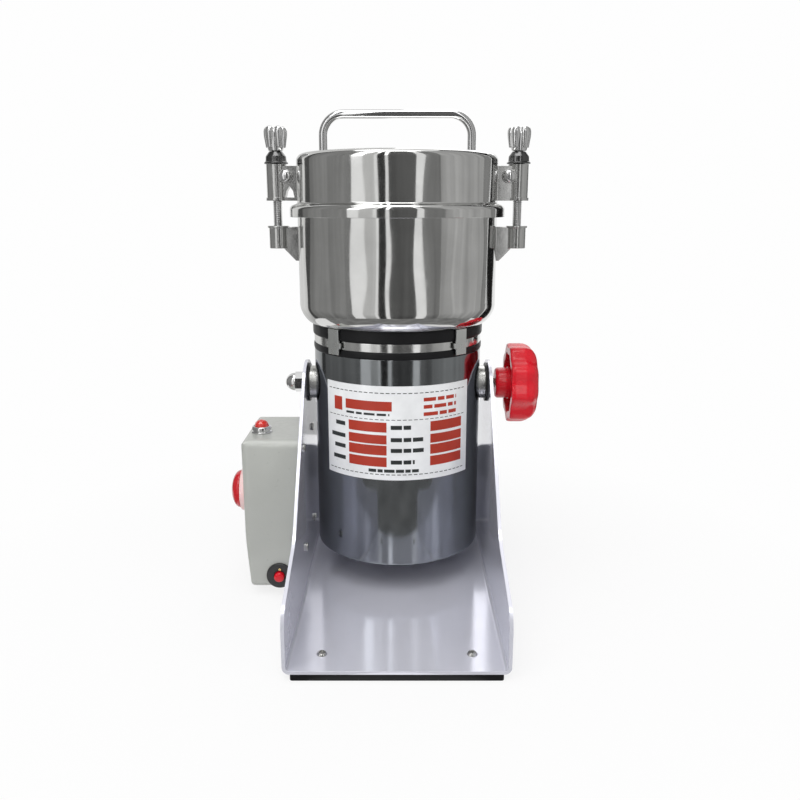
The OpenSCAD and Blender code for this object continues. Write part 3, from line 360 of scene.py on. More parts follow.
class Surface(Graph):
    """Node tree of one finish, round a Principled shader."""

    def __init__(self, material: bpy.types.Material) -> None:
        """Set up the shader.

        Args:
            material: The material that it dresses.
        """
        super().__init__(material.node_tree)
        self.shader = self.node("ShaderNodeBsdfPrincipled")
        self.show(self.shader.outputs["BSDF"])

    def set(self, **values: object) -> None:
        """Set sockets of the shader by name, with _ for a space."""
        for name, value in values.items():
            self.shader.inputs[name.replace("_", " ")].default_value = value

    def cloud(self, size: float, detail: float, colour: Colour, dark: float, light: float,
              stretch: Sequence[float] = (1.0, 1.0, 1.0)) -> None:
        """Colour the surface in soft clouds.

        Args:
            size: Size of the clouds in millimetres.
            detail: Octaves.
            colour: Mean colour.
            dark: Its factor where it is darkest.
            light: Its factor where it is lightest.
            stretch: Stretch of the clouds along each axis.
        """
        share = self.spread(self.noise(self.place(stretch), size, detail), 0.0, 1.0)
        mix = self.node("ShaderNodeMix")
        mix.data_type = "RGBA"
        mix.inputs["A"].default_value = (*shade(colour, dark), 1.0)
        mix.inputs["B"].default_value = (*shade(colour, light), 1.0)
        self.link(share, mix.inputs["Factor"])
        self.link(mix.outputs["Result"], self.shader.inputs["Base Color"])

    def patch(self, size: float, detail: float, smooth: float, rough: float) -> None:
        """Vary the roughness from place to place.

        Args:
            size: Size of the patches in millimetres.
            detail: Octaves.
            smooth: Roughness where it is smoothest.
            rough: Roughness where it is roughest.
        """
        value = self.spread(self.noise(self.place(), size, detail), smooth, rough)
        self.link(value, self.shader.inputs["Roughness"])

    def bump(self, height: Socket, depth: float) -> None:
        """Raise the surface by a pattern, over what was raised before.

        Args:
            height: The pattern, 0 to 1.
            depth: Height in millimetres at 1.
        """
        node = self.node("ShaderNodeBump", Distance=depth * MM, Strength=1.0)
        before = self.shader.inputs["Normal"].links
        if before:
            self.link(before[0].from_socket, node.inputs["Normal"])
        self.link(height, node.inputs["Height"])
        self.link(node.outputs["Normal"], self.shader.inputs["Normal"])


def shade(colour: Colour, factor: float) -> Colour:
    """Lighten or darken a colour by a factor."""
    return tuple(min(1.0, part * factor) for part in colour)


@dataclass(frozen=True)
class Finish:
    """A surface finish, shared by the pieces that have it.

    Attributes:
        name: Name of its material.
        colour: Mean colour.
        roughness: Mean roughness.
    """

    name: str
    colour: Colour
    roughness: float

    def material(self) -> bpy.types.Material:
        """Give this finish's material, made at its first use.

        Returns:
            The material.
        """
        known = bpy.data.materials.get(self.name)
        if known is not None:
            return known
        material = new_material(self.name)
        surface = Surface(material)
        surface.set(Base_Color=(*self.colour, 1.0), Roughness=self.roughness)
        self.dress(surface)
        return material

    def dress(self, surface: Surface) -> None:
        """Add what sets this kind of finish apart."""
        raise NotImplementedError


@dataclass(frozen=True)
class Metal(Finish):
    """Bare or plated metal with fine marks.

    Attributes:
        grain: Direction of the marks.
        pitch: Spacing of the marks in millimetres.
        depth: Depth of the marks in millimetres.
        wave: Height of the slow waves of a spun or pressed sheet, in millimetres.
        soil: How much the sheen varies from place to place.
    """

    grain: Grain = Grain.SATIN
    pitch: float = 0.5
    depth: float = 0.0006
    wave: float = 0.0
    soil: float = 0.25

    def dress(self, surface: Surface) -> None:
        """Add marks, slow waves and an uneven sheen.

        Args:
            surface: Node tree of the finish.
        """
        surface.set(Metallic=1.0)
        surface.cloud(size=22.0, detail=4.0, colour=self.colour, dark=0.93, light=1.05)
        surface.patch(size=6.0, detail=5.0, smooth=self.roughness * (1 - self.soil),
                      rough=self.roughness * (1 + self.soil))
        if self.wave:
            drawn_out = surface.place((1.0, 1.0, 0.35))
            surface.bump(surface.noise(drawn_out, size=26.0, detail=1.0), self.wave)
        vector = surface.rings() if self.grain is Grain.TURNED else surface.place()
        surface.bump(surface.noise(vector, self.pitch, detail=3.0), self.depth)


@dataclass(frozen=True)
class Paint(Finish):
    """Glossy paint on sheet metal.

    Attributes:
        peel: Height of the paint's orange peel in millimetres.
        peel_size: Size of its dimples in millimetres.
        hammer: Height of hammered cells in millimetres, 0 for a plain paint.
        hammer_size: Size of the cells in millimetres.
        coat: Weight of the clear gloss.
        flake: Share of bare metal, as in a paint full of metal flakes.
    """

    peel: float = 0.010
    peel_size: float = 1.6
    hammer: float = 0.0
    hammer_size: float = 3.2
    coat: float = 0.35
    flake: float = 0.0

    def dress(self, surface: Surface) -> None:
        """Add orange peel, hammered cells and slight stains.

        Args:
            surface: Node tree of the finish.
        """
        surface.set(Coat_Weight=self.coat, Coat_Roughness=0.05, Metallic=self.flake)
        surface.cloud(size=30.0, detail=3.0, colour=self.colour, dark=0.98, light=1.02)
        surface.patch(size=3.5, detail=6.0, smooth=self.roughness * 0.8, rough=self.roughness * 1.25)
        surface.bump(surface.noise(surface.place(), self.peel_size, detail=1.5), self.peel)
        if self.hammer:
            cells = surface.node("ShaderNodeTexVoronoi", Scale=1000.0 / self.hammer_size)
            cells.feature = "SMOOTH_F1"
            surface.link(surface.place(), cells.inputs["Vector"])
            surface.bump(cells.outputs["Distance"], self.hammer)


@dataclass(frozen=True)
class Plastic(Finish):
    """Moulded plastic or rubber.

    Attributes:
        grain: Height of the moulded grain in millimetres.
        grain_size: Size of that grain in millimetres.
        coat: Weight of a clear gloss over it.
        glow: Weight of light that scatters inside.
        sheen: Strength of the plain highlight.
    """

    grain: float = 0.004
    grain_size: float = 0.5
    coat: float = 0.0
    glow: float = 0.0
    sheen: float = 0.5

    def dress(self, surface: Surface) -> None:
        """Add grain, an uneven sheen and, where it has one, a gloss.

        Args:
            surface: Node tree of the finish.
        """
        surface.set(Coat_Weight=self.coat, Coat_Roughness=0.08, Specular_IOR_Level=self.sheen,
                    Subsurface_Weight=self.glow, Subsurface_Radius=(1.0, 0.2, 0.1), Subsurface_Scale=0.002)
        surface.patch(size=9.0, detail=5.0, smooth=self.roughness * 0.8, rough=self.roughness * 1.2)
        surface.cloud(size=14.0, detail=3.0, colour=self.colour, dark=0.92, light=1.06)
        surface.bump(surface.noise(surface.place(), self.grain_size, detail=2.0), self.grain)


@dataclass(frozen=True)
class Glass(Finish):
    """Coloured clear plastic of a lamp's lens."""

    def dress(self, surface: Surface) -> None:
        """Let part of the light through and add faint flow lines.

        Args:
            surface: Node tree of the finish.
        """
        surface.set(Transmission_Weight=0.35, IOR=1.49, Coat_Weight=0.6, Coat_Roughness=0.03)
        lines = surface.noise(surface.place((1.0, 1.0, 0.2)), size=1.2, detail=1.0)
        surface.bump(lines, depth=0.01)


@dataclass(frozen=True)
class Stack(Finish):
    """Metal with bands across Z, such as stacked sheets, or round a coil, such as wire.

    Attributes:
        pitch: Spacing of the bands in millimetres.
        depth: Depth between the bands in millimetres.
        metallic: Share of bare metal.
        upright: Whether the bands run along Z instead of across it.
    """

    pitch: float = 0.6
    depth: float = 0.08
    metallic: float = 0.9
    upright: bool = False

    def dress(self, surface: Surface) -> None:
        """Add the bands and a stain that follows them.

        Args:
            surface: Node tree of the finish.
        """
        surface.set(Metallic=self.metallic, Coat_Weight=0.2)
        wave = surface.node("ShaderNodeTexWave", Scale=1000.0 / self.pitch / 20.0 * math.pi, Distortion=0.4,
                            Detail=1.0)
        wave.bands_direction = "X" if self.upright else "Z"
        surface.link(surface.place(), wave.inputs["Vector"])
        surface.bump(wave.outputs["Fac"], self.depth)
        surface.cloud(size=5.0, detail=4.0, colour=self.colour, dark=0.8, light=1.1,
                      stretch=(1.0, 1.0, 3.0))


class Look:
    """Finishes of this mill."""

    BRACKET = Paint("lavender_grey_enamel", (0.780, 0.785, 0.870), 0.13, peel=0.0012, peel_size=4.0,
                    coat=0.3, flake=0.4)
    BOX = Paint("light_grey_hammered_paint", (0.400, 0.410, 0.385), 0.34, peel=0.012, hammer=0.10, coat=0.4)
    STEEL = Metal("polished_bowl_steel", (0.66, 0.66, 0.65), 0.085, Grain.TURNED, 0.35, 0.0005, wave=1.3)
    # Painted shade: the casing is the bowl's polished steel, darkened to stand in for the dark surroundings
    # it mirrors.
    CASING = Metal("dark_polished_casing", (0.29, 0.305, 0.315), 0.11, Grain.TURNED, 0.3, 0.0005, wave=0.22)
    BAND = Metal("bright_neck_band", (0.74, 0.74, 0.73), 0.14, Grain.TURNED, 0.25, 0.0010)
    CHROME = Metal("bright_chrome", (0.72, 0.72, 0.72), 0.08, Grain.SATIN, 3.0, 0.0006)
    CASTING = Metal("polished_casting", (0.60, 0.60, 0.59), 0.17, Grain.SATIN, 2.2, 0.012, wave=0.05)
    CLIP = Metal("stamped_clip_steel", (0.72, 0.735, 0.72), 0.30, Grain.SATIN, 0.6, 0.002)
    ZINC = Metal("zinc_plated_steel", (0.56, 0.56, 0.54), 0.28, Grain.SATIN, 0.7, 0.002)
    BRUSHED = Metal("brushed_blade_steel", (0.60, 0.60, 0.60), 0.22, Grain.TURNED, 0.25, 0.0030)
    BRASS = Metal("machined_brass", (0.72, 0.53, 0.24), 0.22, Grain.TURNED, 0.3, 0.0015)
    CAST = Metal("cast_aluminium_shield", (0.55, 0.56, 0.57), 0.46, Grain.SATIN, 1.2, 0.05)
    RUBBER = Plastic("black_rubber", (0.007, 0.007, 0.008), 0.42, grain=0.010, grain_size=0.8, sheen=0.25)
    SILICONE = Plastic("clear_silicone", (0.70, 0.68, 0.63), 0.40, grain=0.003, glow=0.3)
    BLACK = Plastic("black_moulded_plastic", (0.018, 0.018, 0.019), 0.36, grain=0.004)
    GREY = Plastic("grey_moulded_plastic", (0.11, 0.11, 0.115), 0.45)
    DIAL = Plastic("pale_pink_dial_plastic", (0.80, 0.56, 0.55), 0.35, glow=0.1)
    RED = Plastic("red_moulded_plastic", (0.64, 0.004, 0.016), 0.30, grain=0.001, grain_size=2.4, coat=0.35,
                  sheen=0.3)
    DEEP_RED = Plastic("deep_red_timer_plastic", (0.50, 0.003, 0.010), 0.20, grain=0.002, coat=0.6)
    LENS = Glass("red_lens", (0.80, 0.045, 0.035), 0.06)
    # Painted shade: the chrome cap washers are made near-black to stand in for the shadow under the screws'
    # lobed heads.
    DARK = Metal("blackened_washer_steel", (0.12, 0.12, 0.12), 0.20, Grain.SATIN, 1.5, 0.002)
    LABEL = Plastic("label_film", (0.78, 0.79, 0.80), 0.34, grain=0.0015, grain_size=2.5, coat=0.2)
    INK_RED = Plastic("red_print", (0.40, 0.030, 0.012), 0.34, grain=0.0008)
    INK_DARK = Plastic("dark_print", (0.022, 0.026, 0.026), 0.34, grain=0.0008)
    SHEETS = Stack("varnished_core_sheets", (0.16, 0.17, 0.18), 0.38, pitch=1.0, depth=0.05)
    WIRE = Stack("enamelled_copper_wire", (0.50, 0.16, 0.05), 0.26, pitch=1.1, depth=0.18, upright=True)
    COPPER = Metal("commutator_copper", (0.74, 0.36, 0.20), 0.24, Grain.TURNED, 0.4, 0.002)
    CARBON = Plastic("brush_carbon", (0.030, 0.030, 0.032), 0.55, grain=0.01)


# ---------------------------------------------------------------- shapes


def only(parts: Iterable[object], kind: type) -> list:
    """List the parts of one kind, such as corners, among those of a mesh."""
    return [part for part in parts if isinstance(part, kind)]


def add_object(name: str, data: bpy.types.ID) -> bpy.types.Object:
    """Put a mesh, a light or a camera in the scene.

    Args:
        name: Name of its object.
        data: What the object holds.

    Returns:
        The object.
    """
    made = bpy.data.objects.new(name, data)
    bpy.context.scene.collection.objects.link(made)
    return made


class Shape:
    """A mesh in the making, in millimetres from the mill's axis and the ground."""

    def __init__(self) -> None:
        """Start an empty shape."""
        self.bm = bmesh.new()
        self.from_cad = False
        self.tip: bmesh.types.BMFace | None = None

    @classmethod
    def of_node(cls, node: str) -> "Shape":
        """Copy a node's mesh, merged and with its flat faces whole again.

        Args:
            node: Name of the node.

        Returns:
            The copy.
        """
        shape = cls()
        shape.from_cad = True
        shape.bm.from_mesh(frame["nodes"][node].data)
        to_mm = Matrix.Scale(1 / MM, 4) @ Matrix.Translation(-AXIS)
        bmesh.ops.transform(shape.bm, matrix=to_mm, verts=shape.bm.verts)
        bmesh.ops.remove_doubles(shape.bm, verts=shape.bm.verts, dist=WELD)
        bmesh.ops.dissolve_limit(shape.bm, angle_limit=math.radians(FLAT), verts=shape.bm.verts,
                                 edges=shape.bm.edges, use_dissolve_boundaries=False)
        return shape

    @classmethod
    def turned(cls, corners: Iterable[Corner], closed: bool = False, steps: int = STEPS) -> "Shape":
        """Turn an outline round the Z axis.

        Args:
            corners: Radius, height and, where it is rounded, the length cut from its two sides.
            closed: Whether the last corner joins the first, as on a ring.
            steps: Steps of the full turn.

        Returns:
            The round shape.
        """
        shape = cls()
        shape._outline([(radius, 0.0, height, *rest) for radius, height, *rest in corners], closed)
        shape._sweep(shape.bm.verts[:] + shape.bm.edges[:], math.tau, steps, merge=True)
        bmesh.ops.remove_doubles(shape.bm, verts=shape.bm.verts, dist=WELD)
        return shape

    @classmethod
    def rod(cls, radius: float, low: float, high: float, edge: float = 0.3,
            steps: int = SMALL_STEPS) -> "Shape":
        """Make a round bar along Z with rounded rims.

        Args:
            radius: Its radius.
            low: Its lower end.
            high: Its upper end.
            edge: Rounding of its rims.
            steps: Steps of the turn.

        Returns:
            The bar.
        """
        return cls.turned([(0, low), (radius, low, edge), (radius, high, edge), (0, high)], steps=steps)

    @classmethod
    def ring(cls, outer: float, inner: float, low: float, high: float, edge: float) -> "Shape":
        """Make a ring along Z with rounded edges.

        Args:
            outer: Outer radius.
            inner: Inner radius.
            low: Its lower face.
            high: Its upper face.
            edge: Rounding of its edges.

        Returns:
            The ring.
        """
        corners = [(inner, low, edge), (outer, low, edge), (outer, high, edge), (inner, high, edge)]
        return cls.turned(corners, closed=True)

    @classmethod
    def block(cls, low: Sequence[float], high: Sequence[float]) -> "Shape":
        """Make a box.

        Args:
            low: Lowest corner.
            high: Highest corner.

        Returns:
            The box.
        """
        shape = cls()
        low, high = Vector(low), Vector(high)
        place = Matrix.LocRotScale((low + high) / 2, None, high - low)
        bmesh.ops.create_cube(shape.bm, size=1.0, matrix=place)
        return shape

    @classmethod
    def thread(cls, radius: float, low: float, high: float, pitch: float = 1.25,
               depth: float = 0.6) -> "Shape":
        """Make a threaded bar along Z.

        Args:
            radius: Radius of the crests.
            low: Its lower end.
            high: Its upper end.
            pitch: Rise of one turn.
            depth: Depth of the thread.

        Returns:
            The bar.
        """
        shape = cls()
        around = 20  # steps of one turn
        turns = math.ceil((high - low) / pitch) + 2
        core = radius - depth
        first = low - pitch
        crest = pitch * 0.08  # half the crest's width
        middle = first + pitch / 2
        shape._outline([(core, 0, first), (radius, 0, middle - crest), (radius, 0, middle + crest),
                        (core, 0, first + pitch)], closed=False)
        shape._sweep(shape.bm.verts[:] + shape.bm.edges[:], math.tau * turns, around * turns,
                     rise=pitch / around)
        bmesh.ops.remove_doubles(shape.bm, verts=shape.bm.verts, dist=SEAM)
        for height, direction in ((low, -1), (high, 1)):
            cut = bmesh.ops.bisect_plane(shape.bm, geom=shape.bm.verts[:] + shape.bm.edges[:]
                                         + shape.bm.faces[:], dist=WELD, plane_co=(0, 0, height),
                                         plane_no=(0, 0, direction), clear_outer=True)
            bmesh.ops.holes_fill(shape.bm, edges=only(cut["geom_cut"], bmesh.types.BMEdge), sides=0)
        return shape

    @classmethod
    def arc_bar(cls, inner: float, outer: float, low: float, high: float, start: float,
                stop: float, step: float = 3.0) -> "Shape":
        """Make a bar that follows a circle round the Z axis.

        Args:
            inner: Inner radius.
            outer: Outer radius.
            low: Its lower face.
            high: Its upper face.
            start: First angle in degrees, from the front and to the right.
            stop: Last angle in degrees.
            step: Largest step in degrees.

        Returns:
            The bar.
        """
        shape = cls()
        shape._outline([(inner, 0, low), (outer, 0, low), (outer, 0, high), (inner, 0, high)], closed=True)
        made = bmesh.ops.contextual_create(shape.bm, geom=shape.bm.edges[:])
        shape.spun(start - 90)
        shape._sweep(made["faces"], math.radians(stop - start), max(1, math.ceil((stop - start) / step)))
        open_edges = [edge for edge in shape.bm.edges if edge.is_boundary]
        bmesh.ops.holes_fill(shape.bm, edges=open_edges, sides=0)
        return shape

    def _sweep(self, parts: Sequence[object], angle: float, steps: int, centre: Sequence[float] = (0, 0, 0),
               axis: Sequence[float] = (0, 0, 1), rise: float = 0.0, merge: bool = False) -> list:
        """Sweep parts of the mesh round an axis.

        Args:
            parts: The parts.
            angle: Angle of the sweep in radians.
            steps: Its steps.
            centre: A point on the axis.
            axis: Direction of the axis.
            rise: Rise along Z at each step.
            merge: Whether the end joins the start.

        Returns:
            What lies at the end of the sweep.
        """
        return bmesh.ops.spin(self.bm, geom=parts, cent=centre, axis=axis, dvec=(0, 0, rise), angle=angle,
                              steps=steps, use_merge=merge, use_duplicate=False)["geom_last"]

    def _outline(self, corners: Sequence[Corner], closed: bool) -> None:
        """Draw a line through points and round the corners that ask for it.

        Args:
            corners: X, Y, Z and, where it is rounded, the length cut from the two sides.
            closed: Whether the last point joins the first.
        """
        verts = [self.bm.verts.new(corner[:3]) for corner in corners]
        pairs = list(zip(verts, verts[1:])) + ([(verts[-1], verts[0])] if closed else [])
        for pair in pairs:
            self.bm.edges.new(pair)
        cuts = [corner[3] if len(corner) > 3 else 0.0 for corner in corners]
        for cut in sorted(set(cuts) - {0.0}):
            chosen = [vert for vert, own in zip(verts, cuts) if own == cut]
            segments = max(3, min(12, round(cut * 1.5) + 2))  # more on a larger rounding
            self._bevel(chosen, cut, segments, "VERTICES")

    def _bevel(self, parts: Sequence[object], width: float, segments: int, affect: str) -> None:
        """Round corners of an outline or edges of a solid.

        Args:
            parts: The corners or edges.
            width: Width of the rounding.
            segments: Its steps.
            affect: "VERTICES" or "EDGES".
        """
        bmesh.ops.bevel(self.bm, geom=parts, offset=width, offset_type="OFFSET", segments=segments,
                        profile=0.5, affect=affect, clamp_overlap=True, material=-1)

    @classmethod
    def bar_end(cls, radius: float, place: Sequence[float]) -> "Shape":
        """Start a round bar that grows up from a flat end.

        Args:
            radius: Radius of the bar.
            place: Middle of the end.

        Returns:
            The end, to grow with run and bend.
        """
        shape = cls()
        bmesh.ops.create_circle(shape.bm, cap_ends=True, segments=32, radius=radius,
                                matrix=Matrix.Translation(place))
        shape.tip = shape.bm.faces[:][0]
        return shape

    def run(self, way: Sequence[float]) -> None:
        """Grow the bar's tip straight.

        Args:
            way: Length and direction.
        """
        grown = bmesh.ops.extrude_face_region(self.bm, geom=[self.tip])["geom"]
        self.tip = only(grown, bmesh.types.BMFace)[0]
        bmesh.ops.translate(self.bm, vec=way, verts=only(grown, bmesh.types.BMVert))

    def bend(self, centre: Sequence[float]) -> None:
        """Grow the bar's tip through a quarter turn to the left."""
        last = self._sweep([self.tip], math.pi / 2, steps=14, centre=centre, axis=(0, -1, 0))
        self.tip = only(last, bmesh.types.BMFace)[0]

    def _sharp_edges(self, angle: float) -> list[bmesh.types.BMEdge]:
        """List the edges that turn by more than an angle in degrees."""
        limit = math.radians(angle)
        return [edge for edge in self.bm.edges if edge.is_manifold and edge.calc_face_angle(0.0) > limit]

    def rounded(self, width: float, segments: int = 2) -> "Shape":
        """Round the sharp edges.

        Args:
            width: Width of the rounding.
            segments: Steps of the rounding.

        Returns:
            This shape.
        """
        self._bevel(self._sharp_edges(ROUNDED), width, segments, "EDGES")
        return self

    def moved(self, x: float = 0.0, y: float = 0.0, z: float = 0.0) -> "Shape":
        """Shift the shape."""
        bmesh.ops.translate(self.bm, vec=(x, y, z), verts=self.bm.verts)
        return self

    def spun(self, degrees: float, axis: str = "Z") -> "Shape":
        """Turn the shape about an axis through the foot of the mill's axis.

        Args:
            degrees: Angle of the turn.
            axis: "X", "Y" or "Z".

        Returns:
            This shape.
        """
        turn = Matrix.Rotation(math.radians(degrees), 3, axis)
        bmesh.ops.rotate(self.bm, cent=(0, 0, 0), matrix=turn, verts=self.bm.verts)
        return self

    def aimed(self, aim: Aim, x: float = 0.0, y: float = 0.0, z: float = 0.0) -> "Shape":
        """Point a shape made along Z another way, then shift it."""
        return self.spun(*aim.value).moved(x, y, z)

    def copy(self) -> "Shape":
        """Make a second shape like this one.

        Returns:
            The copy.
        """
        other = Shape()
        other.bm.free()
        other.bm = self.bm.copy()
        other.from_cad = self.from_cad
        return other

    def mesh(self, name: str) -> bpy.types.Mesh:
        """Copy the shape into a mesh.

        Args:
            name: Name of the mesh.

        Returns:
            The mesh.
        """
        mesh = bpy.data.meshes.new(name)
        self.bm.to_mesh(mesh)
        return mesh

    def joined(self, *others: "Shape") -> "Shape":
        """Take other shapes into this one, as loose parts of one mesh.

        Args:
            others: The other shapes.

        Returns:
            This shape.
        """
        for other in others:
            mesh = other.mesh("scratch")
            self.bm.from_mesh(mesh)
            bpy.data.meshes.remove(mesh)
        return self

    def both_sides(self) -> "Shape":
        """Add a mirror image across X = 0."""
        return self.joined(self.copy().flipped())

    def flipped(self) -> "Shape":
        """Mirror the shape across X = 0.

        Returns:
            This shape.
        """
        bmesh.ops.scale(self.bm, vec=(-1, 1, 1), verts=self.bm.verts)
        bmesh.ops.reverse_faces(self.bm, faces=self.bm.faces)
        return self

    def put(self, side: Side) -> "Shape":
        """Leave the shape on the right or mirror it to the left."""
        return self.flipped() if side is Side.LEFT else self

    def outward(self) -> "Shape":
        """Point every face outwards."""
        bmesh.ops.recalc_face_normals(self.bm, faces=self.bm.faces)
        return self

    def cut(self, *tools: "Shape") -> "Shape":
        """Cut closed shapes out of this one.

        Args:
            tools: The shapes to cut away.

        Returns:
            This shape.
        """
        body, *cutters = [add_object("scratch", shape.outward().mesh("scratch")) for shape in (self, *tools)]
        for cutter in cutters:
            modifier = body.modifiers.new("cut", "BOOLEAN")
            modifier.operation = "DIFFERENCE"
            modifier.solver = "EXACT"
            modifier.object = cutter
        result = body.evaluated_get(bpy.context.evaluated_depsgraph_get())
        self.bm.clear()
        self.bm.from_mesh(result.data)
        for scratch in (body, *cutters):
            mesh = scratch.data
            bpy.data.objects.remove(scratch)
            bpy.data.meshes.remove(mesh)
        return self

    def to_frame(self) -> None:
        """Bring the shape to the frame's metres and to the mill's place in it."""
        place = Matrix.Translation(AXIS) @ Matrix.Scale(MM, 4)
        bmesh.ops.transform(self.bm, matrix=place, verts=self.bm.verts)

    def piece(self, name: str, look: Finish, body: str, slot: Slot, replaces: Sequence[str] = (),
              crease: float = CREASE) -> None:
        """Turn the shape into a finished piece that rides on a body.

        Args:
            name: Name of the piece.
            look: Its finish.
            body: The body that carries it.
            slot: The record's slot of its finish; not used.
            replaces: Nodes that it stands for.
            crease: Edges that turn by more than this, in degrees, stay sharp.
        """
        if not self.from_cad:
            self.outward()
        self.to_frame()
        for face in self.bm.faces:
            face.smooth = True
        for edge in self._sharp_edges(crease):
            edge.smooth = False
        mesh = self.mesh(name)
        self.bm.free()
        mesh.materials.append(look.material())
        made = add_object(name, mesh)
        even = made.modifiers.new("even_normals", "WEIGHTED_NORMAL")
        even.keep_sharp = True
        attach(made, body)
        if replaces:
            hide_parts(*replaces)
        LOG.info("%s rides on %s: %d faces, %s", name, body, len(mesh.polygons), look.name)


def refined(node: str, look: Finish, edge: float = 0.25, segments: int = 2,
            cuts: Sequence[Shape] = ()) -> None:
    """Dress a node whose form is right as a copy with eased edges.

    Args:
        node: Name of the node.
        look: Its finish.
        edge: Width of the eased edges, 0 for none.
        segments: Steps of the easing.
        cuts: Shapes to cut away, such as the recesses of screw heads.
    """
    shape = Shape.of_node(node)
    if edge:
        shape.rounded(edge, segments)
    if cuts:
        shape.cut(*cuts)
    shape.piece(node + "_dressed", look, body_of(node), slot_of(node), [node])


def body_of(node: str) -> str:
    """Name the body that carries a node."""
    return frame["nodes"][node]["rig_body"]


def slot_of(node: str) -> Slot:
    """Look up a node's material slot in the record."""
    return Slot(next(part["material_slot"] for part in frame["record"]["subparts"] if part["node"] == node))


def pan_slots(places: Iterable[Sequence[float]], recess: tuple[float, float], aim: Aim) -> list[Shape]:
    """Make the bars that cut cross recesses into a node's screw heads.

    Args:
        places: Middle of each head's outer face.
        recess: Length of the bars and depth of the recesses.
        aim: Direction that the heads face.

    Returns:
        All bars, two for each head.
    """
    across, depth = recess
    half, thin = across / 2, across * 0.12
    clear = 1.0  # how far the bars stand out of the heads
    return [Shape.block((-x, -y, -depth), (x, y, clear)).aimed(aim, *place)
            for place in places for x, y in ((half, thin), (thin, half))]


# ---------------------------------------------------------------- base


@dataclass(frozen=True)
class TiltBracket:
    """Bent sheet bracket on rubber strips, with its screws and bushes.

    Attributes:
        edge: Width of the eased edges of the sheet.
        screw_x: Screws from the mill's axis, sideways.
        screw_y: Front and rear screws from the mill's axis.
        recess: Length and depth of the screws' cross recesses.
    """

    edge: float = 0.35
    screw_x: float = 42.0
    screw_y: tuple[float, float] = (-127.0, 53.0)
    recess: tuple[float, float] = (3.4, 0.8)

    def build(self) -> None:
        """Make the bracket's pieces."""
        refined("base_bracket", Look.BRACKET, self.edge, 3)
        # Partly painted shade: the black rubber strips are real feet, and also run along the front edge to
        # stand in for the shadow line under the sheet.
        refined("foot_strips", Look.RUBBER, 0.5)
        refined("pivot_bushes", Look.BLACK, 0.25)
        top = Span.of("foot_screws").high.z
        heads = [(x, y, top) for x in (-self.screw_x, self.screw_x) for y in self.screw_y]
        refined("foot_screws", Look.ZINC, SCREW_EDGE, cuts=pan_slots(heads, self.recess, Aim.UP))


